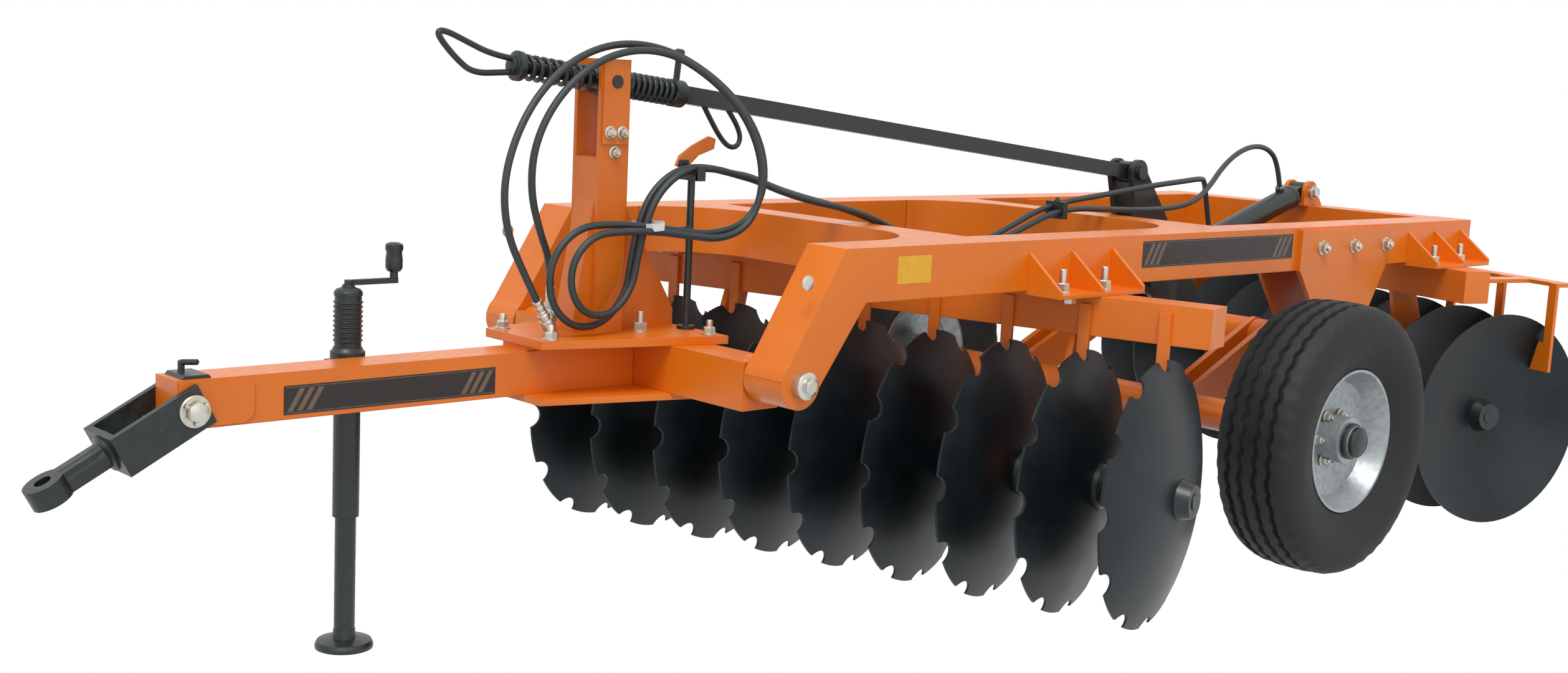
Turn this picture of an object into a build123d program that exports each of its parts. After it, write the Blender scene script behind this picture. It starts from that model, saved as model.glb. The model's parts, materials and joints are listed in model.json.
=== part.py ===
from build123d import *
from math import atan2, cos, degrees, hypot, radians, sin, sqrt
import os

os.makedirs("parts", exist_ok=True)

# Trailed offset disc harrow. All sizes in millimetres.
# -Y is the direction of travel, +X the machine's left side, +Z up, Z = 0 the ground.

# Place of the machine in its frame: its middle plane, and the hinge line of the drawbar
MID_X = -20
PIVOT_Y = -1055
PIVOT_Z = 639

# Main frame: two long beams and three cross members
BEAM_HALF_WIDTH = 576
BEAM_SIZE = 125
BEAM_TOP = 935
BEAM_FRONT_Y = PIVOT_Y + 119
BEAM_REAR_Y = PIVOT_Y + 2990
LEG_FOOT_RADIUS = 58
CROSS_DEPTH = 105
CROSS_FRONT_Y = PIVOT_Y + 550
CROSS_MIDDLE_Y = PIVOT_Y + 1600
CROSS_REAR_Y = PIVOT_Y + 2875
ARCH_RADIUS = 210

# Hinge of the drawbar
DRAWBAR_PIN_DIA = 40
DRAWBAR_PIN_GRIP = 60
DRAWBAR_PIN_HEAD = 30
RUNNING_FIT = 0.06
SIDE_GAP = 5

# Drawbar
TONGUE_SIZE = 100
TONGUE_Z = 611
TONGUE_FRONT_Y = PIVOT_Y - 1190
CROSSBAR_SIZE = 110
PLATE_THICK = 12
PLATE_FRONT_Y = PIVOT_Y - 350
PLATE_FRONT_HALF = 95
PLATE_REAR_HALF = 250
MAST_Y = PIVOT_Y - 134
MAST_WIDTH = 78
MAST_DEPTH = 84
MAST_TOP = 1100
EAR_THICK = 12
EAR_TOP = 1326
EAR_BOTTOM = 1010
MAST_PIN_DROP = 51
MAST_PIN_Z = EAR_TOP - MAST_PIN_DROP
MAST_PIN_DIA = 30
POST_Y = PIVOT_Y - 5
POST_X = 100
POST_DIA = 14
POST_TOP = 1085

# Hitch
HITCH_Y = PIVOT_Y - 1161
HITCH_PIN_DIA = 30
HITCH_PLATE = 14
HITCH_DROOP = 28
HITCH_WIDTH = 88
HITCH_LENGTH = 185
HITCH_EYE_DIA = 34
HITCH_EYE_REACH = 300
HITCH_BAR = 44

# Parking jack
JACK_X = -86
JACK_Y = PIVOT_Y - 740
JACK_TUBE_DIA = 58
JACK_TUBE_TOP = 790
JACK_TUBE_BOTTOM = 300
JACK_LEG_DIA = 46
JACK_LEG_TOP = 580
JACK_FOOT_DIA = 128
JACK_FOOT_THICK = 8

# Transport axle
WHEEL_X = 808
WHEEL_Y = PIVOT_Y + 1801
TYRE_DIA = 760
TYRE_WIDTH = 245
RIM_DIA = 400
AXLE_TUBE_DIA = 95
ROCKSHAFT_DIA = 102
ROCKSHAFT_Y = PIVOT_Y + 2221
ROCKSHAFT_Z = 566
ARM_X = 320
ARM_THICK = 20
ARM_WIDTH = 110
SPINDLE_DIA = 50
HUB_DIA = 130
HUB_LENGTH = 150
RIM_THICK = 8
RIM_WELL = 40
ARM_GAP = 46
HANGER_THICK = 14
HANGER_TOP_FRONT = -260
HANGER_TOP_REAR = 225

# Lift lever, levelling link and cylinder, all in the middle plane
LEVER_GAP = 64
LEVER_THICK = 16
LEVER_TOP_Y = PIVOT_Y + 1895
LEVER_TOP_Z = 1054
LEVER_LOW_Y = PIVOT_Y + 1995
LEVER_LOW_Z = 716
LEVER_PIN_DIA = 30
LINK_BAR = 42
LINK_EYE_DIA = 66
SPRING_DIA = 62
SPRING_LENGTH = 200
CYL_LUG_Y = PIVOT_Y + 2885
CYL_LUG_Z = 982
CYL_DIA = 76
CYL_LENGTH = 520
CYL_ROD_DIA = 36
CYL_ROD_START = 330
CYL_EYE_DIA = 64

# Disc gangs
DISC_COUNT = 9
DISC_PITCH = 210
DISC_DIA = 660
DISC_THICK = 6
DISC_DISH = 72
DISC_FLAT_DIA = 124
NOTCH_COUNT = 12
NOTCH_RADIUS = 34
GANG_Z = 342
GANG_SHAFT_DIA = 42
SPOOL_DIA = 74
SPOOL_FLANGE_DIA = 112
BEARING_SPOOL_DIA = 66
BEARING_DIA = 128
BEARING_WIDTH = 76
FRONT_GANG_X = 145
FRONT_GANG_Y = PIVOT_Y + 699
FRONT_GANG_ANGLE = 15
REAR_GANG_X = -15
REAR_GANG_Y = PIVOT_Y + 3029
REAR_GANG_ANGLE = 18
GANG_BEAM_SIZE = 100
GANG_BEAM_Z = 750
FRONT_BEAM_OFFSET = -120
REAR_BEAM_OFFSET = 90
BEAM_NEAR_REACH = 20
BEAM_FAR_REACH = 112
END_CAP_DIA = 104
END_CAP_LENGTH = 34
TUBE_WALL = 8
BEARING_OFFSET = 126
BEARING_INSET_COUNT = 1
STANDARD_THICK = 16
SCRAPER_CLEARANCE = 7
STEM_WIDTH = 30
STEM_THICK = 12
BLADE_LOW = 150
BLADE_HEIGHT = 90
SCRAPER_BAR_OFFSET = -190
SCRAPER_BAR_Z = 760
SCRAPER_BAR_WIDTH = 60
SCRAPER_BAR_THICK = 12
BRACKET_LENGTH = 340
BRACKET_REACH = 104
BRACKET_INSET = -10
BRACKET_TAIL = 70
RIB_THICK = 10
RIB_HEIGHT = 95

BEAM_INNER = BEAM_HALF_WIDTH - BEAM_SIZE
BEAM_MID = BEAM_HALF_WIDTH - BEAM_SIZE / 2
BEAM_BOTTOM = BEAM_TOP - BEAM_SIZE


def side_plane(x):
    """A plane across the machine at x from its middle plane: sketch axes are Y and Z."""
    return Plane.YZ.offset(MID_X + x)


def level(z):
    """A level plane at height z: sketch axes are X and Y."""
    return Plane.XY.offset(z)


def save(piece, name):
    """Label a piece and write it as the node of that name."""
    piece.part.label = name
    export_step(piece.part, f"parts/{name}.step")


# Long beams, each with its front leg bent down to the drawbar's hinge
LEG_FRONT_LOW = (PIVOT_Y - LEG_FOOT_RADIUS, PIVOT_Z + 10)
LEG_REAR_LOW = (PIVOT_Y + LEG_FOOT_RADIUS, PIVOT_Z - 10)
for side, name in ((1, "frame_beam_left"), (-1, "frame_beam_right")):
    with BuildPart() as beam:
        with BuildSketch(side_plane(side * BEAM_MID)) as outline:
            with BuildLine():
                Polyline(
                    (BEAM_REAR_Y, BEAM_TOP),
                    (BEAM_FRONT_Y, BEAM_TOP),
                    LEG_FRONT_LOW,
                    LEG_REAR_LOW,
                    (BEAM_FRONT_Y + 72, BEAM_BOTTOM),
                    (BEAM_REAR_Y, BEAM_BOTTOM),
                    close=True,
                )
            make_face()
            with Locations((PIVOT_Y, PIVOT_Z)):
                Circle(LEG_FOOT_RADIUS)
        extrude(amount=BEAM_SIZE / 2, both=True)
        with BuildSketch(side_plane(side * BEAM_MID)):
            with Locations((PIVOT_Y, PIVOT_Z)):
                Circle(DRAWBAR_PIN_DIA / 2)
        extrude(amount=BEAM_SIZE, both=True, mode=Mode.SUBTRACT)
    save(beam, name)


# Cross members: boxes between the beams, arched where they meet them
def cross_member(front_y, arch):
    with BuildPart() as member:
        with BuildSketch(level(BEAM_BOTTOM)):
            with Locations((MID_X, front_y + CROSS_DEPTH / 2)):
                Rectangle(2 * BEAM_INNER, CROSS_DEPTH)
            for side in (1, -1):
                corner = MID_X + side * BEAM_INNER
                with BuildLine():
                    Polyline(
                        (corner - side * arch, front_y),
                        (corner, front_y),
                        (corner, front_y - arch),
                    )
                    RadiusArc(
                        (corner, front_y - arch),
                        (corner - side * arch, front_y),
                        -side * arch * 1.05,
                    )
                make_face()
        extrude(amount=BEAM_SIZE)
    return member


front_member = cross_member(CROSS_FRONT_Y, ARCH_RADIUS)
save(front_member, "cross_member_front")
middle_member = cross_member(CROSS_MIDDLE_Y, ARCH_RADIUS)
save(middle_member, "cross_member_middle")

# Rear cross member with the two lugs that carry the cylinder
LUG_GAP = CYL_EYE_DIA * 0.75 + 2 * SIDE_GAP
LUG_THICK = 14
LUG_RADIUS = 38
with BuildPart() as rear_member:
    with BuildSketch(level(BEAM_BOTTOM)):
        with Locations((MID_X, CROSS_REAR_Y + CROSS_DEPTH / 2)):
            Rectangle(2 * BEAM_INNER, CROSS_DEPTH)
    extrude(amount=BEAM_SIZE)
    for side in (1, -1):
        with BuildSketch(side_plane(side * (LUG_GAP + LUG_THICK) / 2)):
            with BuildLine():
                Polyline(
                    (CYL_LUG_Y - LUG_RADIUS, CYL_LUG_Z),
                    (CYL_LUG_Y - LUG_RADIUS, BEAM_TOP),
                    (CYL_LUG_Y + 2 * LUG_RADIUS, BEAM_TOP),
                    (CYL_LUG_Y + LUG_RADIUS, CYL_LUG_Z),
                    close=True,
                )
            make_face()
            with Locations((CYL_LUG_Y, CYL_LUG_Z)):
                Circle(LUG_RADIUS)
                Circle(LEVER_PIN_DIA / 2, mode=Mode.SUBTRACT)
        extrude(amount=LUG_THICK / 2, both=True)
save(rear_member, "cross_member_rear")

with BuildPart() as cylinder_pin:
    with BuildSketch(side_plane(0)):
        with Locations((CYL_LUG_Y, CYL_LUG_Z)):
            Circle(LEVER_PIN_DIA / 2)
    extrude(amount=LUG_GAP / 2 + LUG_THICK + 12, both=True)
save(cylinder_pin, "cylinder_lug_pin")

# Hanger plates for the rockshaft, one inside and one outside each beam
HANGER_BOSS = 70
with BuildPart() as hangers:
    for side in (1, -1):
        for face_x in (BEAM_HALF_WIDTH, BEAM_INNER - HANGER_THICK):
            with BuildSketch(side_plane(side * (face_x + HANGER_THICK / 2))):
                with BuildLine():
                    Polyline(
                        (ROCKSHAFT_Y + HANGER_TOP_FRONT, BEAM_TOP - 6),
                        (ROCKSHAFT_Y + HANGER_TOP_FRONT, BEAM_BOTTOM),
                        (ROCKSHAFT_Y - HANGER_BOSS, ROCKSHAFT_Z),
                        (ROCKSHAFT_Y + HANGER_BOSS, ROCKSHAFT_Z),
                        (ROCKSHAFT_Y + HANGER_TOP_REAR, BEAM_BOTTOM),
                        (ROCKSHAFT_Y + HANGER_TOP_REAR, BEAM_TOP - 6),
                        close=True,
                    )
                make_face()
                with Locations((ROCKSHAFT_Y, ROCKSHAFT_Z)):
                    Circle(HANGER_BOSS)
                    Circle(DRAWBAR_PIN_DIA / 2 + RUNNING_FIT, mode=Mode.SUBTRACT)
            extrude(amount=HANGER_THICK / 2, both=True)
save(hangers, "axle_hangers")


# Gangs. Each gang's own frame: x along its axis from the left end to the right, z up.
def gang_plane(x, y, angle, turn):
    """The frame of a gang: origin at its middle, on the axis."""
    along = (-cos(radians(angle)), turn * sin(radians(angle)), 0)
    return Plane(origin=(MID_X + x, y, GANG_Z), x_dir=along, z_dir=(0, 0, 1))


FRONT_GANG = gang_plane(FRONT_GANG_X, FRONT_GANG_Y, FRONT_GANG_ANGLE, -1)
REAR_GANG = gang_plane(REAR_GANG_X, REAR_GANG_Y, REAR_GANG_ANGLE, 1)
GANG_HALF = DISC_PITCH * (DISC_COUNT - 1) / 2
STATIONS = [DISC_PITCH * i - GANG_HALF for i in range(DISC_COUNT)]
BEARING_GAPS = (BEARING_INSET_COUNT, DISC_COUNT - 2 - BEARING_INSET_COUNT)
DISH_RADIUS = ((DISC_DIA / 2) ** 2 + DISC_DISH**2) / (2 * DISC_DISH)


def across(plane, x, y=0, z=0):
    """A plane square to a gang's axis at x along it: its normal points along the axis."""
    origin = plane.from_local_coords((x, y, z))
    return Plane(origin=origin, x_dir=plane.y_dir, z_dir=plane.x_dir)


def along_profile(plane, x=0):
    """A plane through a gang's axis: sketch x along the axis, sketch y out from it."""
    origin = plane.from_local_coords((x, 0, 0))
    return Plane(origin=origin, x_dir=plane.x_dir, z_dir=-plane.y_dir)


def disc_blade(plane, x, bulge, notched):
    """One dished disc. bulge is the way its convex face points along the axis."""
    axis = Axis(plane.from_local_coords((x, 0, 0)), plane.x_dir)
    flat = DISC_FLAT_DIA / 2
    rim = DISC_DIA / 2
    bore = GANG_SHAFT_DIA / 2 + 0.3
    rise = DISH_RADIUS - sqrt(DISH_RADIUS**2 - rim**2)
    flat_rise = DISH_RADIUS - sqrt(DISH_RADIUS**2 - flat**2)
    depth = rise - flat_rise
    middle = sqrt(flat * rim)
    middle_depth = DISH_RADIUS - sqrt(DISH_RADIUS**2 - middle**2) - flat_rise
    half = DISC_THICK / 2
    with BuildPart() as blade:
        with BuildSketch(along_profile(plane, x)):
            with BuildLine():
                Line((bulge * half, bore), (bulge * half, flat))
                ThreePointArc(
                    (bulge * half, flat),
                    (bulge * half - bulge * middle_depth, middle),
                    (bulge * half - bulge * depth, rim),
                )
                Line((bulge * half - bulge * depth, rim), (-bulge * half - bulge * depth, rim))
                ThreePointArc(
                    (-bulge * half - bulge * depth, rim),
                    (-bulge * half - bulge * middle_depth, middle),
                    (-bulge * half, flat),
                )
                Line((-bulge * half, flat), (-bulge * half, bore))
                Line((-bulge * half, bore), (bulge * half, bore))
            make_face()
        revolve(axis=axis)
        if notched:
            with BuildSketch(across(plane, x - bulge * (depth + DISC_THICK))):
                with PolarLocations(rim + NOTCH_RADIUS * 0.25, NOTCH_COUNT):
                    Circle(NOTCH_RADIUS)
            extrude(amount=bulge * (depth + 2 * DISC_THICK), mode=Mode.SUBTRACT)
    return blade.part


for plane, bulge, notched, name in (
    (FRONT_GANG, -1, True, "discs_front"),
    (REAR_GANG, 1, False, "discs_rear"),
):
    with BuildPart() as discs:
        for station in STATIONS:
            add(disc_blade(plane, station, bulge, notched))
    save(discs, name)

# Gang axles: shaft, spools between the discs, slimmer bearing spools and end washers
FLANGE_THICK = 12
for plane, name in ((FRONT_GANG, "gang_axle_front"), (REAR_GANG, "gang_axle_rear")):
    axis = Axis(plane.origin, plane.x_dir)
    with BuildPart() as gang_axle:
        reach = GANG_HALF + END_CAP_LENGTH + DISC_THICK
        with BuildSketch(across(plane, -reach)):
            Circle(GANG_SHAFT_DIA / 2)
        extrude(amount=2 * reach)
        for i in range(DISC_COUNT - 1):
            start = STATIONS[i] + DISC_THICK / 2
            end = STATIONS[i + 1] - DISC_THICK / 2
            waist = BEARING_SPOOL_DIA if i in BEARING_GAPS else SPOOL_DIA
            with BuildSketch(along_profile(plane)):
                with BuildLine():
                    Polyline(
                        (start, 0),
                        (start, SPOOL_FLANGE_DIA / 2),
                        (start + FLANGE_THICK, SPOOL_FLANGE_DIA / 2),
                        (start + 3 * FLANGE_THICK, waist / 2),
                        (end - 3 * FLANGE_THICK, waist / 2),
                        (end - FLANGE_THICK, SPOOL_FLANGE_DIA / 2),
                        (end, SPOOL_FLANGE_DIA / 2),
                        (end, 0),
                        close=True,
                    )
                make_face()
            revolve(axis=axis)
        for way in (1, -1):
            face = way * (GANG_HALF + DISC_THICK / 2)
            with BuildSketch(across(plane, face)):
                Circle(END_CAP_DIA / 2)
            extrude(amount=way * END_CAP_LENGTH, taper=18)
    save(gang_axle, name)

# Gang beams: square tubes that carry the bearings, under the main frame
for plane, offset, name in (
    (FRONT_GANG, FRONT_BEAM_OFFSET, "gang_beam_front"),
    (REAR_GANG, REAR_BEAM_OFFSET, "gang_beam_rear"),
):
    start = -GANG_HALF - BEAM_NEAR_REACH
    with BuildPart() as gang_beam:
        with BuildSketch(across(plane, start, 0, GANG_BEAM_Z - GANG_Z)):
            with Locations((offset, 0)):
                Rectangle(GANG_BEAM_SIZE, GANG_BEAM_SIZE)
                Rectangle(
                    GANG_BEAM_SIZE - 2 * TUBE_WALL,
                    GANG_BEAM_SIZE - 2 * TUBE_WALL,
                    mode=Mode.SUBTRACT,
                )
        extrude(amount=2 * GANG_HALF + BEAM_NEAR_REACH + BEAM_FAR_REACH)
        for end in (start, start + 2 * GANG_HALF + BEAM_NEAR_REACH + BEAM_FAR_REACH - TUBE_WALL):
            with BuildSketch(across(plane, end, 0, GANG_BEAM_Z - GANG_Z)):
                with Locations((offset, 0)):
                    Rectangle(GANG_BEAM_SIZE, GANG_BEAM_SIZE)
            extrude(amount=TUBE_WALL)
    save(gang_beam, name)

# Bearing standards: a plate down from the gang beam to a round bearing housing
BEAM_UNDER = GANG_BEAM_Z - GANG_Z - GANG_BEAM_SIZE / 2
for plane, offset, open_way, name in (
    (FRONT_GANG, FRONT_BEAM_OFFSET, 1, "bearing_standards_front"),
    (REAR_GANG, REAR_BEAM_OFFSET, -1, "bearing_standards_rear"),
):
    with BuildPart() as standards:
        for gap in BEARING_GAPS:
            station = STATIONS[gap] if open_way > 0 else STATIONS[gap + 1]
            middle = station + open_way * BEARING_OFFSET
            lean = offset / abs(offset)
            with BuildSketch(across(plane, middle)):
                with BuildLine():
                    Polyline(
                        (offset - lean * GANG_BEAM_SIZE / 2, BEAM_UNDER),
                        (offset + lean * GANG_BEAM_SIZE / 2, BEAM_UNDER),
                        (lean * BEARING_DIA * 0.55, 0),
                        (-lean * BEARING_DIA * 0.3, 0),
                        (-lean * BEARING_DIA * 0.3, BEARING_DIA * 0.8),
                        close=True,
                    )
                make_face()
                Circle(BEARING_DIA * 0.45, mode=Mode.SUBTRACT)
            extrude(amount=STANDARD_THICK / 2, both=True)
            with BuildSketch(across(plane, middle)):
                Circle(BEARING_DIA / 2)
            extrude(amount=BEARING_WIDTH / 2, both=True)
            with BuildSketch(across(plane, middle)):
                Circle(BEARING_SPOOL_DIA / 2 + RUNNING_FIT)
            extrude(amount=BEARING_WIDTH, both=True, mode=Mode.SUBTRACT)
    save(standards, name)


def dish_depth(r):
    """How far a disc's face has moved along the axis at radius r from its flat middle."""
    flat = DISC_FLAT_DIA / 2
    return sqrt(DISH_RADIUS**2 - flat**2) - sqrt(DISH_RADIUS**2 - r**2)


# Scrapers: a stem down from the gang beam and a blade beside each disc's hollow face
RIM_FACE = DISC_THICK / 2 + dish_depth(DISC_DIA / 2)
STEM_START = RIM_FACE + SCRAPER_CLEARANCE


def scraper(plane, station, open_way, stem_y, stem_top):
    """A stem and its blade, for the disc at station."""
    low = BLADE_LOW
    high = BLADE_LOW + BLADE_HEIGHT
    edge = DISC_THICK / 2 + SCRAPER_CLEARANCE
    stem_end = STEM_START + STEM_WIDTH
    face = Plane(
        origin=plane.from_local_coords((station, stem_y, 0)),
        x_dir=plane.x_dir,
        z_dir=-plane.y_dir,
    )
    with BuildPart() as piece:
        with BuildSketch(face):
            with BuildLine():
                Polyline(
                    (open_way * STEM_START, stem_top),
                    (open_way * STEM_START, high),
                    (open_way * (edge + dish_depth(hypot(high, stem_y))), high),
                    (open_way * (edge + dish_depth(hypot(low, stem_y))), low),
                    (open_way * stem_end, low),
                    (open_way * stem_end, stem_top),
                    close=True,
                )
            make_face()
        extrude(amount=STEM_THICK / 2, both=True)
    return piece.part


front_stem_y = FRONT_BEAM_OFFSET + GANG_BEAM_SIZE / 2 + STEM_THICK / 2
front_stem_top = GANG_BEAM_Z - GANG_Z + GANG_BEAM_SIZE * 0.3
with BuildPart() as scrapers_front:
    for station in STATIONS:
        add(scraper(FRONT_GANG, station, 1, front_stem_y, front_stem_top))
save(scrapers_front, "scrapers_front")

# The rear gang's scrapers hang from a bar of their own, on straps over the gang beam
bar_bottom = SCRAPER_BAR_Z - GANG_Z
rear_stem_y = SCRAPER_BAR_OFFSET + SCRAPER_BAR_WIDTH / 2 + STEM_THICK / 2
with BuildPart() as scrapers_rear:
    for station in STATIONS:
        add(scraper(REAR_GANG, station, -1, rear_stem_y, bar_bottom + SCRAPER_BAR_THICK))
    bar_start = -GANG_HALF - STEM_START - STEM_WIDTH
    with BuildSketch(across(REAR_GANG, bar_start, SCRAPER_BAR_OFFSET, bar_bottom)):
        with Locations((0, SCRAPER_BAR_THICK / 2)):
            Rectangle(SCRAPER_BAR_WIDTH, SCRAPER_BAR_THICK)
    extrude(amount=2 * GANG_HALF)
    strap_reach = REAR_BEAM_OFFSET - GANG_BEAM_SIZE / 2 - SCRAPER_BAR_OFFSET
    for strap_x in (-GANG_HALF + 40, 0, GANG_HALF - 160):
        with BuildSketch(across(REAR_GANG, strap_x, SCRAPER_BAR_OFFSET, bar_bottom)):
            with Locations((strap_reach / 2, SCRAPER_BAR_THICK / 2)):
                Rectangle(strap_reach, SCRAPER_BAR_THICK)
        extrude(amount=SCRAPER_BAR_WIDTH / 2, both=True)
save(scrapers_rear, "scrapers_rear")

# Brackets that hang the gang beams from the main frame: flange, plate and two ribs
FLANGE_TOP = BEAM_BOTTOM
FLANGE_BOTTOM = GANG_BEAM_Z + GANG_BEAM_SIZE / 2
for plane, offset, name in (
    (FRONT_GANG, FRONT_BEAM_OFFSET, "gang_brackets_front"),
    (REAR_GANG, REAR_BEAM_OFFSET, "gang_brackets_rear"),
):
    with BuildPart() as brackets:
        for side in (1, -1):
            reach = plane.from_local_coords((0, offset, 0))
            slope = plane.x_dir.Y / plane.x_dir.X
            middle_y = reach.Y + (MID_X + side * BEAM_MID - reach.X) * slope
            outer = side * (BEAM_HALF_WIDTH + BRACKET_REACH)
            inner = side * (BEAM_INNER + BRACKET_INSET)
            front = min(middle_y - BRACKET_LENGTH / 2, BEAM_REAR_Y - BRACKET_LENGTH)
            rear = max(min(middle_y + BRACKET_LENGTH / 2, BEAM_REAR_Y), middle_y + BRACKET_TAIL)
            last_rib = min(rear, BEAM_REAR_Y)
            with BuildSketch(level(FLANGE_BOTTOM)):
                with Locations((MID_X + (outer + inner) / 2, (front + rear) / 2)):
                    Rectangle(abs(outer - inner), rear - front)
            extrude(amount=FLANGE_TOP - FLANGE_BOTTOM)
            for rib_y in (
                front + RIB_THICK / 2,
                (front + last_rib) / 2,
                last_rib - RIB_THICK / 2,
            ):
                face = Plane(
                    origin=(MID_X + side * BEAM_HALF_WIDTH, rib_y, FLANGE_TOP),
                    x_dir=(side, 0, 0),
                    z_dir=(0, -side, 0),
                )
                with BuildSketch(face):
                    with BuildLine():
                        Polyline(
                            (0, 0),
                            (BRACKET_REACH, 0),
                            (BRACKET_REACH, RIB_THICK),
                            (0, RIB_HEIGHT),
                            close=True,
                        )
                    make_face()
                extrude(amount=RIB_THICK / 2, both=True)
    save(brackets, name)

# Rockshaft, arms, axle tube and stub axles: one swinging assembly
WHEEL_Z = TYRE_DIA / 2
SPINDLE_END = WHEEL_X + HUB_LENGTH / 2
with BuildPart() as axle_tube:
    with BuildSketch(side_plane(0)):
        with Locations((WHEEL_Y, WHEEL_Z)):
            Circle(AXLE_TUBE_DIA / 2)
    extrude(amount=WHEEL_X - HUB_LENGTH / 2 - SIDE_GAP, both=True)
    with BuildSketch(side_plane(0)):
        with Locations((WHEEL_Y, WHEEL_Z)):
            Circle(SPINDLE_DIA / 2)
    extrude(amount=SPINDLE_END, both=True)
save(axle_tube, "axle_tube")

with BuildPart() as rockshaft:
    with BuildSketch(side_plane(0)):
        with Locations((ROCKSHAFT_Y, ROCKSHAFT_Z)):
            Circle(ROCKSHAFT_DIA / 2)
    extrude(amount=BEAM_INNER - HANGER_THICK - SIDE_GAP, both=True)
    with BuildSketch(side_plane(0)):
        with Locations((ROCKSHAFT_Y, ROCKSHAFT_Z)):
            Circle(DRAWBAR_PIN_DIA / 2)
    extrude(amount=BEAM_HALF_WIDTH + HANGER_THICK + 10, both=True)
save(rockshaft, "rockshaft")

arm_angle = degrees(atan2(WHEEL_Z - ROCKSHAFT_Z, WHEEL_Y - ROCKSHAFT_Y))
arm_length = hypot(WHEEL_Y - ROCKSHAFT_Y, WHEEL_Z - ROCKSHAFT_Z)
with BuildPart() as arms:
    for side in (1, -1):
        for cheek in (1, -1):
            x = side * ARM_X + cheek * (ARM_GAP + ARM_THICK) / 2
            with BuildSketch(side_plane(x)):
                with Locations(Location((ROCKSHAFT_Y, ROCKSHAFT_Z, 0), (0, 0, 1), arm_angle)):
                    with Locations((arm_length / 2, 0)):
                        SlotCenterToCenter(arm_length, ARM_WIDTH)
                with Locations((ROCKSHAFT_Y, ROCKSHAFT_Z)):
                    Circle(ROCKSHAFT_DIA / 2, mode=Mode.SUBTRACT)
                with Locations((WHEEL_Y, WHEEL_Z)):
                    Circle(AXLE_TUBE_DIA / 2, mode=Mode.SUBTRACT)
            extrude(amount=ARM_THICK / 2, both=True)
save(arms, "axle_arms")

# Lift lever: two cranked plates on the rockshaft, gripping both eyes between them
with BuildPart() as lever:
    for side in (1, -1):
        with BuildSketch(side_plane(side * (LEVER_GAP + LEVER_THICK) / 2)):
            with BuildLine():
                Polyline(
                    (LEVER_TOP_Y - 40, LEVER_TOP_Z),
                    (LEVER_LOW_Y - 44, LEVER_LOW_Z),
                    (ROCKSHAFT_Y - 60, ROCKSHAFT_Z - 50),
                    (ROCKSHAFT_Y + 75, ROCKSHAFT_Z),
                    (ROCKSHAFT_Y + 20, ROCKSHAFT_Z + 120),
                    (LEVER_TOP_Y + 40, LEVER_TOP_Z),
                    close=True,
                )
            make_face()
            with Locations((LEVER_TOP_Y, LEVER_TOP_Z)):
                Circle(40)
            with Locations((LEVER_LOW_Y, LEVER_LOW_Z)):
                Circle(44)
            with Locations((ROCKSHAFT_Y, ROCKSHAFT_Z)):
                Circle(ROCKSHAFT_DIA / 2, mode=Mode.SUBTRACT)
        extrude(amount=LEVER_THICK / 2, both=True)
        for pin_y, pin_z in ((LEVER_TOP_Y, LEVER_TOP_Z), (LEVER_LOW_Y, LEVER_LOW_Z)):
            with BuildSketch(side_plane(side * (LEVER_GAP / 2 + LEVER_THICK))):
                with Locations((pin_y, pin_z)):
                    Circle(LEVER_PIN_DIA / 2 + 6)
            extrude(amount=side * 14)
save(lever, "lift_lever")

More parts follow.
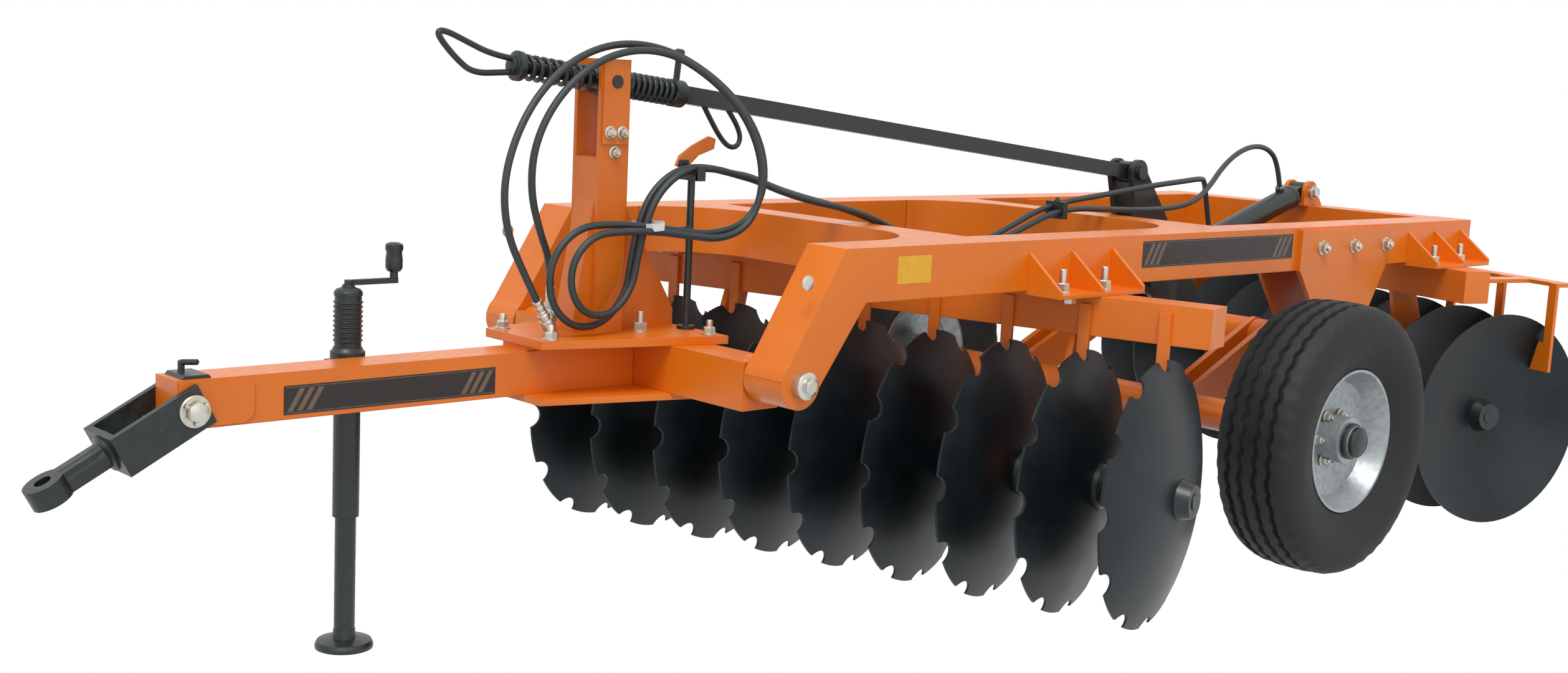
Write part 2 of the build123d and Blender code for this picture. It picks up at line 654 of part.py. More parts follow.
# Wheels
for side, name in ((1, "left"), (-1, "right")):
    hub_plane = side_plane(side * WHEEL_X)
    axis = Axis((MID_X, WHEEL_Y, WHEEL_Z), (1, 0, 0))
    profile = Plane(
        origin=(MID_X + side * WHEEL_X, WHEEL_Y, WHEEL_Z), x_dir=(side, 0, 0), z_dir=(0, -side, 0)
    )
    half = TYRE_WIDTH / 2
    rim_half = half * 0.72
    seat = RIM_DIA / 2
    with BuildPart() as tyre:
        with BuildSketch(profile):
            with BuildLine():
                Polyline((-rim_half, seat), (rim_half, seat))
                Spline(
                    (rim_half, seat),
                    (half, seat + (TYRE_DIA / 2 - seat) * 0.45),
                    (half * 0.8, TYRE_DIA / 2 - 14),
                    tangents=((0.5, 1), (-0.6, 1)),
                )
                Spline((half * 0.8, TYRE_DIA / 2 - 14), (0, TYRE_DIA / 2), (-half * 0.8, TYRE_DIA / 2 - 14))
                Spline(
                    (-half * 0.8, TYRE_DIA / 2 - 14),
                    (-half, seat + (TYRE_DIA / 2 - seat) * 0.45),
                    (-rim_half, seat),
                    tangents=((-0.6, -1), (0.5, -1)),
                )
            make_face()
        revolve(axis=axis)
    save(tyre, f"tyre_{name}")
    with BuildPart() as rim:
        with BuildSketch(profile):
            with BuildLine():
                Polyline(
                    (-rim_half, seat),
                    (-rim_half, seat - RIM_THICK),
                    (-rim_half * 0.5, seat - RIM_WELL),
                    (rim_half * 0.35, seat - RIM_WELL),
                    (rim_half, seat - RIM_THICK),
                    (rim_half, seat),
                    close=True,
                )
            make_face()
            with BuildLine():
                Polyline(
                    (-rim_half * 0.5, seat - RIM_WELL),
                    (-rim_half * 0.5, seat - RIM_WELL - RIM_THICK),
                    (rim_half * 0.1, HUB_DIA * 0.5),
                    (rim_half * 0.1 + RIM_THICK, HUB_DIA * 0.5),
                    (rim_half * 0.35, seat - RIM_WELL),
                    close=True,
                )
            make_face()
            with Locations((0, HUB_DIA / 4 + SPINDLE_DIA / 4 + RUNNING_FIT / 2)):
                Rectangle(HUB_LENGTH, HUB_DIA / 2 - SPINDLE_DIA / 2 - RUNNING_FIT)
        revolve(axis=axis)
        with BuildSketch(side_plane(side * (WHEEL_X + HUB_LENGTH / 2 + SIDE_GAP))):
            with Locations((WHEEL_Y, WHEEL_Z)):
                Circle(HUB_DIA * 0.34)
        extrude(amount=side * 20)
        with BuildSketch(side_plane(side * (WHEEL_X + HUB_LENGTH / 2))):
            with Locations((WHEEL_Y, WHEEL_Z)):
                Circle(HUB_DIA / 2)
                Circle(SPINDLE_DIA / 2 + SIDE_GAP, mode=Mode.SUBTRACT)
        extrude(amount=side * SIDE_GAP)
    save(rim, f"rim_{name}")

# Drawbar: tongue, two plates, crossbar and mast
TONGUE_TOP = TONGUE_Z + TONGUE_SIZE / 2
TONGUE_BOTTOM = TONGUE_Z - TONGUE_SIZE / 2
CROSSBAR_FRONT = PIVOT_Y - CROSSBAR_SIZE / 2
with BuildPart() as tongue:
    with BuildSketch(level(TONGUE_BOTTOM)):
        with Locations((MID_X, (TONGUE_FRONT_Y + CROSSBAR_FRONT) / 2)):
            Rectangle(TONGUE_SIZE, CROSSBAR_FRONT - TONGUE_FRONT_Y)
    extrude(amount=TONGUE_SIZE)
    with BuildSketch(side_plane(0)):
        with Locations((HITCH_Y, TONGUE_Z - 10)):
            Circle(HITCH_PIN_DIA / 2 + RUNNING_FIT)
    extrude(amount=TONGUE_SIZE, both=True, mode=Mode.SUBTRACT)
save(tongue, "tongue_beam")

for z, name in ((TONGUE_TOP, "drawbar_plate_top"), (TONGUE_BOTTOM - PLATE_THICK, "drawbar_plate_bottom")):
    with BuildPart() as plate:
        with BuildSketch(level(z)):
            with BuildLine():
                Polyline(
                    (MID_X - PLATE_FRONT_HALF, PLATE_FRONT_Y),
                    (MID_X + PLATE_FRONT_HALF, PLATE_FRONT_Y),
                    (MID_X + PLATE_REAR_HALF, CROSSBAR_FRONT),
                    (MID_X - PLATE_REAR_HALF, CROSSBAR_FRONT),
                    close=True,
                )
            make_face()
        extrude(amount=PLATE_THICK)
    save(plate, name)

CROSSBAR_HALF = BEAM_INNER - SIDE_GAP
with BuildPart() as crossbar:
    with BuildSketch(side_plane(0)):
        with Locations((PIVOT_Y, PIVOT_Z)):
            Rectangle(CROSSBAR_SIZE, CROSSBAR_SIZE)
    extrude(amount=CROSSBAR_HALF, both=True)
    for side in (1, -1):
        with BuildSketch(side_plane(side * CROSSBAR_HALF)):
            with Locations((PIVOT_Y, PIVOT_Z)):
                Circle(DRAWBAR_PIN_DIA / 2 + RUNNING_FIT)
        extrude(amount=-side * (DRAWBAR_PIN_GRIP + SIDE_GAP), mode=Mode.SUBTRACT)
save(crossbar, "drawbar_crossbar")

with BuildPart() as drawbar_pins:
    for side in (1, -1):
        with BuildSketch(side_plane(side * (BEAM_INNER - DRAWBAR_PIN_GRIP))):
            with Locations((PIVOT_Y, PIVOT_Z)):
                Circle(DRAWBAR_PIN_DIA / 2)
        extrude(amount=side * (DRAWBAR_PIN_GRIP + BEAM_SIZE + DRAWBAR_PIN_HEAD))
save(drawbar_pins, "drawbar_pins")

with BuildPart() as mast:
    with BuildSketch(level(TONGUE_TOP + PLATE_THICK)):
        with Locations((MID_X, MAST_Y)):
            Rectangle(MAST_WIDTH, MAST_DEPTH)
    extrude(amount=MAST_TOP - TONGUE_TOP - PLATE_THICK)
    for side in (1, -1):
        with BuildSketch(side_plane(side * (MAST_WIDTH + EAR_THICK) / 2)):
            with BuildLine():
                Polyline(
                    (MAST_Y - MAST_DEPTH / 2, TONGUE_TOP + PLATE_THICK),
                    (MAST_Y - MAST_DEPTH / 2, EAR_TOP),
                    (MAST_Y + MAST_DEPTH / 2, EAR_TOP),
                    (MAST_Y + MAST_DEPTH / 2, TONGUE_TOP + PLATE_THICK),
                    close=True,
                )
            make_face()
            with Locations((MAST_Y, MAST_PIN_Z)):
                Circle(MAST_PIN_DIA / 2, mode=Mode.SUBTRACT)
        extrude(amount=EAR_THICK / 2, both=True)
save(mast, "mast")

with BuildPart() as mast_pin:
    with BuildSketch(side_plane(0)):
        with Locations((MAST_Y, MAST_PIN_Z)):
            Circle(MAST_PIN_DIA / 2)
    extrude(amount=MAST_WIDTH / 2 + EAR_THICK + 8, both=True)
save(mast_pin, "mast_pin")

with BuildPart() as hose_holder:
    with BuildSketch(level(TONGUE_TOP + PLATE_THICK)):
        with Locations((MID_X + POST_X, POST_Y - CROSSBAR_SIZE / 2 - POST_DIA)):
            Circle(POST_DIA / 2)
    extrude(amount=POST_TOP - TONGUE_TOP - PLATE_THICK)
save(hose_holder, "hose_holder")

# Hitch clevis, drooping on its pin
hitch_point = (HITCH_Y, TONGUE_Z - 10)
droop = Location((HITCH_Y, TONGUE_Z - 10, 0), (0, 0, 1), 180 + HITCH_DROOP)
with BuildPart() as clevis:
    for side in (1, -1):
        with BuildSketch(side_plane(side * (TONGUE_SIZE / 2 + 1 + HITCH_PLATE / 2))):
            with Locations(droop):
                with Locations((HITCH_LENGTH / 2 - 30, 0)):
                    Rectangle(HITCH_LENGTH, HITCH_WIDTH)
                Circle(HITCH_PIN_DIA / 2, mode=Mode.SUBTRACT)
        extrude(amount=HITCH_PLATE / 2, both=True)
    with BuildSketch(side_plane(0)):
        with Locations(droop):
            with Locations((HITCH_LENGTH - 30 + HITCH_PLATE / 2, 0)):
                Rectangle(HITCH_PLATE, HITCH_WIDTH)
    extrude(amount=TONGUE_SIZE / 2 + 1 + HITCH_PLATE, both=True)
save(clevis, "hitch_clevis")

with BuildPart() as hitch_eye:
    with BuildSketch(side_plane(0)):
        with Locations(droop):
            with Locations(((HITCH_LENGTH - 30 + HITCH_PLATE + HITCH_EYE_REACH) / 2, 0)):
                Rectangle(HITCH_EYE_REACH - HITCH_LENGTH + 30 - HITCH_PLATE, HITCH_BAR)
    extrude(amount=HITCH_BAR / 2, both=True)
    eye_plane = Plane(
        origin=(
            MID_X,
            HITCH_Y - HITCH_EYE_REACH * cos(radians(HITCH_DROOP)),
            TONGUE_Z - 10 - HITCH_EYE_REACH * sin(radians(HITCH_DROOP)),
        ),
        x_dir=(1, 0, 0),
        z_dir=(0, -sin(radians(HITCH_DROOP)), cos(radians(HITCH_DROOP))),
    )
    with BuildSketch(eye_plane):
        Circle(HITCH_EYE_DIA / 2 + 24)
    extrude(amount=HITCH_BAR / 2, both=True)
    with BuildSketch(eye_plane):
        Circle(HITCH_EYE_DIA / 2)
    extrude(amount=HITCH_BAR, both=True, mode=Mode.SUBTRACT)
save(hitch_eye, "hitch_eye")

with BuildPart() as hitch_pin:
    with BuildSketch(side_plane(0)):
        with Locations(hitch_point):
            Circle(HITCH_PIN_DIA / 2)
    extrude(amount=TONGUE_SIZE / 2 + 1 + HITCH_PLATE + 16, both=True)
save(hitch_pin, "hitch_pin")

# Parking jack: tube on the tongue's far side, crank on top, sliding leg with a dished foot
with BuildPart() as jack_tube:
    with BuildSketch(level(JACK_TUBE_BOTTOM)):
        with Locations((MID_X + JACK_X, JACK_Y)):
            Circle(JACK_TUBE_DIA / 2)
            Circle(JACK_LEG_DIA / 2 + RUNNING_FIT, mode=Mode.SUBTRACT)
    extrude(amount=JACK_TUBE_TOP - JACK_TUBE_BOTTOM)
    with BuildSketch(level(JACK_TUBE_TOP)):
        with Locations((MID_X + JACK_X, JACK_Y)):
            Circle(JACK_TUBE_DIA / 2)
    extrude(amount=12)
    with BuildSketch(level(TONGUE_BOTTOM + 10)):
        with Locations((MID_X + (JACK_X - JACK_TUBE_DIA / 2 - TONGUE_SIZE / 2) / 2, JACK_Y)):
            Rectangle(-JACK_X + JACK_TUBE_DIA / 2 - TONGUE_SIZE / 2, JACK_TUBE_DIA + 24)
        with Locations((MID_X + JACK_X, JACK_Y)):
            Circle(JACK_LEG_DIA / 2 + RUNNING_FIT, mode=Mode.SUBTRACT)
    extrude(amount=TONGUE_SIZE - 20)
save(jack_tube, "jack_tube")

with BuildPart() as jack_crank:
    with BuildSketch(level(JACK_TUBE_TOP + 12)):
        with Locations((MID_X + JACK_X, JACK_Y)):
            Circle(9)
    extrude(amount=24)
    with BuildSketch(level(JACK_TUBE_TOP + 24)):
        with Locations((MID_X + JACK_X, JACK_Y + 60)):
            Rectangle(12, 120)
    extrude(amount=12)
    with BuildSketch(level(JACK_TUBE_TOP + 36)):
        with Locations((MID_X + JACK_X, JACK_Y + 112)):
            Circle(9)
    extrude(amount=70)
save(jack_crank, "jack_crank")

with BuildPart() as jack_leg:
    with BuildSketch(level(0)):
        with Locations((MID_X + JACK_X, JACK_Y)):
            Circle(JACK_FOOT_DIA / 2)
    extrude(amount=JACK_FOOT_THICK)
    with BuildSketch(level(JACK_FOOT_THICK)):
        with Locations((MID_X + JACK_X, JACK_Y)):
            Circle(JACK_LEG_DIA / 2)
    extrude(amount=JACK_LEG_TOP - JACK_FOOT_THICK)
save(jack_leg, "jack_leg")

# Levelling link: bar from the mast's pin back to the lift lever, spring and handle ahead
link_angle = degrees(atan2(LEVER_TOP_Z - MAST_PIN_Z, LEVER_TOP_Y - MAST_Y))
link_length = hypot(LEVER_TOP_Z - MAST_PIN_Z, LEVER_TOP_Y - MAST_Y)
link_frame = Location((MAST_Y, MAST_PIN_Z, 0), (0, 0, 1), link_angle)
with BuildPart() as link_bar:
    with BuildSketch(side_plane(0)):
        with Locations(link_frame):
            with Locations((link_length / 2, 0)):
                Rectangle(link_length - LINK_EYE_DIA * 0.7, LINK_BAR)
            with Locations((link_length, 0)):
                Circle(LINK_EYE_DIA / 2)
                Circle(LEVER_PIN_DIA / 2 + 1, mode=Mode.SUBTRACT)
            Circle(LINK_EYE_DIA / 2)
            Circle(MAST_PIN_DIA / 2 + RUNNING_FIT, mode=Mode.SUBTRACT)
    extrude(amount=LINK_BAR / 2, both=True)
save(link_bar, "levelling_link")

with BuildPart() as link_spring:
    spring_plane = Plane(
        origin=(
            MID_X,
            MAST_Y - (LINK_EYE_DIA / 2) * cos(radians(link_angle)),
            MAST_PIN_Z - (LINK_EYE_DIA / 2) * sin(radians(link_angle)),
        ),
        x_dir=(1, 0, 0),
        z_dir=(0, -cos(radians(link_angle)), -sin(radians(link_angle))),
    )
    with BuildSketch(spring_plane):
        Circle(SPRING_DIA / 2)
    extrude(amount=SPRING_LENGTH)
save(link_spring, "link_spring")

# Lift cylinder
cyl_angle = degrees(atan2(LEVER_LOW_Z - CYL_LUG_Z, LEVER_LOW_Y - CYL_LUG_Y))
cyl_reach = hypot(LEVER_LOW_Z - CYL_LUG_Z, LEVER_LOW_Y - CYL_LUG_Y)
cyl_frame = Location((CYL_LUG_Y, CYL_LUG_Z, 0), (0, 0, 1), cyl_angle)
cyl_way = Vector(0, cos(radians(cyl_angle)), sin(radians(cyl_angle)))
cyl_base = Vector(MID_X, CYL_LUG_Y, CYL_LUG_Z)
with BuildPart() as barrel:
    with BuildSketch(Plane(origin=cyl_base + cyl_way * 62, x_dir=(1, 0, 0), z_dir=cyl_way)):
        Circle(CYL_DIA / 2)
    extrude(amount=CYL_LENGTH)
    with BuildSketch(side_plane(0)):
        with Locations((CYL_LUG_Y, CYL_LUG_Z)):
            Circle(CYL_EYE_DIA / 2)
        with Locations(cyl_frame):
            with Locations((36, 0)):
                Rectangle(54, CYL_EYE_DIA * 0.8)
        with Locations((CYL_LUG_Y, CYL_LUG_Z)):
            Circle(LEVER_PIN_DIA / 2 + RUNNING_FIT, mode=Mode.SUBTRACT)
    extrude(amount=CYL_EYE_DIA * 0.375, both=True)
    with BuildSketch(Plane(origin=cyl_base + cyl_way * 90, x_dir=(1, 0, 0), z_dir=cyl_way)):
        Circle(CYL_ROD_DIA / 2 + RUNNING_FIT)
    extrude(amount=CYL_LENGTH, mode=Mode.SUBTRACT)
save(barrel, "cylinder_barrel")

with BuildPart() as cyl_rod:
    with BuildSketch(Plane(origin=cyl_base + cyl_way * (CYL_ROD_START), x_dir=(1, 0, 0), z_dir=cyl_way)):
        Circle(CYL_ROD_DIA / 2)
    extrude(amount=cyl_reach - CYL_ROD_START - CYL_EYE_DIA * 0.4)
    with BuildSketch(side_plane(0)):
        with Locations(cyl_frame):
            with Locations((cyl_reach, 0)):
                Circle(CYL_EYE_DIA / 2)
                Circle(LEVER_PIN_DIA / 2 + 1, mode=Mode.SUBTRACT)
    extrude(amount=CYL_EYE_DIA * 0.375, both=True)
save(cyl_rod, "cylinder_rod")
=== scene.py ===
import json
from math import cos, pi, radians, sin

import bmesh
import bpy
from mathutils import Matrix, Vector


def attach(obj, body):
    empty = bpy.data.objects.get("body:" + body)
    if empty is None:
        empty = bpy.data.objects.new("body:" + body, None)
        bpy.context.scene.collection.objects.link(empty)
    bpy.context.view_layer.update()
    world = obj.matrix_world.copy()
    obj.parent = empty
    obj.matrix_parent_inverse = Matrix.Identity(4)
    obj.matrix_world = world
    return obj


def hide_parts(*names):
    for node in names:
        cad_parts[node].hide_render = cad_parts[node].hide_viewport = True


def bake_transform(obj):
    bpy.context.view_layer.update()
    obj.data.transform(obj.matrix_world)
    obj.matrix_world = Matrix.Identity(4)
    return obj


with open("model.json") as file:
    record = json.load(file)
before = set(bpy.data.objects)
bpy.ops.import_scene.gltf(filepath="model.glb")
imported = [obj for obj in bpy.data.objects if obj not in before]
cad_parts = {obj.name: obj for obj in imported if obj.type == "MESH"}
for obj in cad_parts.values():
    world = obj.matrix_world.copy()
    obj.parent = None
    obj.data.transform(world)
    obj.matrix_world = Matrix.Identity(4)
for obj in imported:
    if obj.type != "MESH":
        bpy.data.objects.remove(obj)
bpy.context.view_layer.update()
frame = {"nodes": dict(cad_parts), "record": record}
NODES = frame["nodes"]

# Camera: solved from the photograph, in metres of the shared frame
CAMERA_PLACE = Vector((3.4286, -3.7902, 1.3366))
CAMERA_RIGHT = Vector((0.67591, 0.73545, 0.04744))
CAMERA_UP = Vector((-0.1406, 0.06549, 0.9879))
CAMERA_LENS = 42.05
SENSOR_WIDTH = 36.0


def make_camera():
    data = bpy.data.cameras.new("camera")
    data.sensor_fit = "HORIZONTAL"
    data.sensor_width = SENSOR_WIDTH
    data.lens = CAMERA_LENS
    data.clip_end = 100
    camera = bpy.data.objects.new("camera", data)
    bpy.context.scene.collection.objects.link(camera)
    back = CAMERA_RIGHT.cross(CAMERA_UP).normalized()
    up = back.cross(CAMERA_RIGHT).normalized()
    right = up.cross(back).normalized()
    turn = Matrix((right, up, back)).transposed().to_4x4()
    camera.matrix_world = Matrix.Translation(CAMERA_PLACE) @ turn
    bpy.context.scene.camera = camera


make_camera()


# Materials
class Tree:
    """A material's node tree with short calls to add and join nodes."""

    def __init__(self, name):
        self.material = bpy.data.materials.new(name)
        self.material.use_nodes = True
        self.nodes = self.material.node_tree.nodes
        self.links = self.material.node_tree.links
        self.nodes.clear()
        self.out = self.nodes.new("ShaderNodeOutputMaterial")
        self.place = self.nodes.new("ShaderNodeTexCoord").outputs["Object"]

    def set(self, socket, value):
        """Joins a socket to an output, or gives it a plain value."""
        if isinstance(value, bpy.types.NodeSocket):
            self.links.new(value, socket)
        else:
            socket.default_value = value

    def noise(self, scale, detail=4.0, rough=0.55, stretch=None):
        node = self.nodes.new("ShaderNodeTexNoise")
        place = self.place
        if stretch:
            mapping = self.nodes.new("ShaderNodeMapping")
            mapping.inputs["Scale"].default_value = stretch
            self.links.new(place, mapping.inputs["Vector"])
            place = mapping.outputs["Vector"]
        self.links.new(place, node.inputs["Vector"])
        node.inputs["Scale"].default_value = scale
        node.inputs["Detail"].default_value = detail
        node.inputs["Roughness"].default_value = rough
        return node.outputs["Fac"]

    def ramp(self, value, low, high, start=0.0, end=1.0):
        node = self.nodes.new("ShaderNodeMapRange")
        self.set(node.inputs["Value"], value)
        node.inputs["From Min"].default_value = low
        node.inputs["From Max"].default_value = high
        node.inputs["To Min"].default_value = start
        node.inputs["To Max"].default_value = end
        return node.outputs["Result"]

    def mix(self, amount, a, b):
        node = self.nodes.new("ShaderNodeMix")
        node.data_type = "RGBA"
        self.set(node.inputs["Factor"], amount)
        self.set(node.inputs["A"], a)
        self.set(node.inputs["B"], b)
        return node.outputs["Result"]

    def bump(self, height, strength, distance, normal=None):
        node = self.nodes.new("ShaderNodeBump")
        node.inputs["Strength"].default_value = strength
        node.inputs["Distance"].default_value = distance
        self.set(node.inputs["Height"], height)
        if normal:
            self.links.new(normal, node.inputs["Normal"])
        return node.outputs["Normal"]

    def rounded(self, radius):
        node = self.nodes.new("ShaderNodeBevel")
        node.samples = 4
        node.inputs["Radius"].default_value = radius
        return node.outputs["Normal"]

    def principled(self, **values):
        shader = self.nodes.new("ShaderNodeBsdfPrincipled")
        for name, value in values.items():
            self.set(shader.inputs[name.replace("_", " ")], value)
        self.links.new(shader.outputs["BSDF"], self.out.inputs["Surface"])
        return shader


def srgb(red, green, blue):
    """A colour given in 0 to 255 display values, as linear RGBA."""
    linear = []
    for value in (red, green, blue):
        value /= 255
        linear.append(value / 12.92 if value <= 0.04045 else ((value + 0.055) / 1.055) ** 2.4)
    return (*linear, 1.0)


def paint_material():
    """Orange gloss paint: faint orange peel and dust over softened edges."""
    tree = Tree("orange_paint")
    broad = tree.noise(1.7, 3)
    fine = tree.noise(38, 4)
    tint = tree.mix(tree.ramp(broad, 0.35, 0.65), srgb(228, 118, 16), srgb(216, 108, 12))
    colour = tree.mix(tree.ramp(fine, 0.45, 0.9, 0.0, 0.12), tint, srgb(176, 84, 24))
    peel = tree.noise(420, 2)
    normal = tree.bump(peel, 0.05, 0.0006, tree.rounded(0.0035))
    tree.principled(
        Base_Color=colour,
        Roughness=tree.ramp(fine, 0.3, 0.8, 0.30, 0.44),
        Coat_Weight=0.12,
        Coat_Roughness=0.18,
        Normal=normal,
    )
    return tree.material


def dark_material():
    """Charcoal satin paint of the link, lever, jack and axles."""
    tree = Tree("charcoal_paint")
    fine = tree.noise(45, 4)
    colour = tree.mix(tree.ramp(fine, 0.4, 0.8), srgb(20, 28, 28), srgb(34, 42, 42))
    normal = tree.bump(tree.noise(260, 3), 0.08, 0.0006, tree.rounded(0.0025))
    tree.principled(
        Base_Color=colour,
        Roughness=tree.ramp(fine, 0.3, 0.8, 0.36, 0.52),
        Coat_Weight=0.15,
        Normal=normal,
    )
    return tree.material


def disc_material():
    """Hardened disc steel under black lacquer, with a cold sheen."""
    tree = Tree("disc_steel")
    cloud = tree.noise(5, 5)
    fine = tree.noise(90, 3)
    colour = tree.mix(tree.ramp(cloud, 0.35, 0.7), srgb(14, 22, 25), srgb(30, 41, 46))
    normal = tree.bump(fine, 0.10, 0.0005, tree.rounded(0.001))
    tree.principled(
        Base_Color=colour,
        Metallic=0.35,
        Roughness=tree.ramp(cloud, 0.3, 0.7, 0.34, 0.48),
        Normal=normal,
    )
    return tree.material


def rim_material():
    """Silver-grey wheel paint."""
    tree = Tree("silver_rim")
    fine = tree.noise(60, 4)
    colour = tree.mix(tree.ramp(fine, 0.4, 0.8), srgb(168, 174, 176), srgb(140, 147, 150))
    tree.principled(
        Base_Color=colour,
        Metallic=0.55,
        Roughness=tree.ramp(fine, 0.3, 0.8, 0.32, 0.45),
        Normal=tree.rounded(0.002),
    )
    return tree.material


def tyre_material():
    """Matt black rubber with a little dust."""
    tree = Tree("tyre_rubber")
    dust = tree.noise(14, 6)
    colour = tree.mix(tree.ramp(dust, 0.45, 0.8), srgb(11, 13, 13), srgb(32, 34, 33))
    normal = tree.bump(tree.noise(300, 3), 0.25, 0.0008)
    tree.principled(Base_Color=colour, Roughness=tree.ramp(dust, 0.3, 0.8, 0.62, 0.8), Normal=normal)
    return tree.material


def zinc_material():
    """Zinc-plated steel with a pale yellow passivation here and there."""
    tree = Tree("zinc_plate")
    cloud = tree.noise(30, 4)
    colour = tree.mix(tree.ramp(cloud, 0.4, 0.75), srgb(206, 205, 200), srgb(190, 176, 140))
    tree.principled(
        Base_Color=colour,
        Metallic=0.9,
        Roughness=tree.ramp(cloud, 0.3, 0.7, 0.28, 0.42),
        Normal=tree.rounded(0.001),
    )
    return tree.material


def chrome_material():
    """Hard chrome of the cylinder's rod."""
    tree = Tree("hard_chrome")
    streak = tree.noise(200, 2, stretch=(1, 0.05, 1))
    tree.principled(
        Base_Color=srgb(214, 216, 220),
        Metallic=1.0,
        Roughness=tree.ramp(streak, 0.3, 0.7, 0.08, 0.16),
    )
    return tree.material


def hose_material():
    """Hydraulic hose: satin rubber with a fine wrapped cloth mark."""
    tree = Tree("hose_rubber")
    fine = tree.noise(700, 2)
    colour = tree.mix(tree.ramp(fine, 0.35, 0.7), srgb(36, 43, 44), srgb(54, 62, 64))
    tree.principled(
        Base_Color=colour,
        Roughness=tree.ramp(fine, 0.3, 0.7, 0.38, 0.55),
        Normal=tree.bump(fine, 0.3, 0.0005),
    )
    return tree.material


def plain_material(name, colour, rough, worn=0.25):
    """A thin film or moulding: an even colour, slightly mottled and worn."""
    tree = Tree(name)
    mottle = tree.noise(60, 4)
    darker = tuple(value * (1 - worn) for value in colour[:3]) + (1.0,)
    tree.principled(
        Base_Color=tree.mix(tree.ramp(mottle, 0.35, 0.75), colour, darker),
        Roughness=tree.ramp(mottle, 0.3, 0.8, rough, rough + 0.12),
    )
    return tree.material


MATERIALS = {
    "paint": paint_material(),
    "dark": dark_material(),
    "disc": disc_material(),
    "rim": rim_material(),
    "tyre": tyre_material(),
    "zinc": zinc_material(),
    "chrome": chrome_material(),
    "hose": hose_material(),
}

DECAL = plain_material("decal_film", srgb(34, 24, 20), 0.34)
STRIPE = plain_material("decal_stripes", srgb(112, 92, 78), 0.36)
STICKER = plain_material("yellow_film", srgb(236, 176, 44), 0.36, 0.12)
TIE = plain_material("white_strap", srgb(226, 228, 230), 0.5, 0.1)

for part in frame["record"]["subparts"]:
    mesh = NODES[part["node"]].data
    mesh.materials.clear()
    mesh.materials.append(MATERIALS[part["material_slot"]])

# Pieces. Their places are in mm: across from the machine's middle plane, back from the
# drawbar's hinge line, and up from the ground.
MID_X = -20
HINGE_Y = -1055
SHARP_ANGLE = radians(38)
UP = Vector((0, 0, 1))
SIDES = (1, -1)

# Bolts: washer thickness, and radii of washer and stud as shares of the width across flats
WASHER = 3
WASHER_SHARE = 0.72
STUD_SHARE = 0.3


def spot(x, y, z):
    """A place on the machine, in metres of the shared frame."""
    return Vector(((x + MID_X) / 1000, (y + HINGE_Y) / 1000, z / 1000))


def cross_pair(axis):
    """Two directions square to an axis and to each other."""
    side = Vector((1, 0, 0)) if abs(axis.x) < 0.9 else Vector((0, 1, 0))
    first = axis.cross(side).normalized()
    return first, axis.cross(first).normalized()


def ring(centre, first, second, radius, sides):
    """A circle of points in metres; its radius is in mm."""
    return [
        centre + (first * cos(2 * pi * k / sides) + second * sin(2 * pi * k / sides)) * (radius / 1000)
        for k in range(sides)
    ]


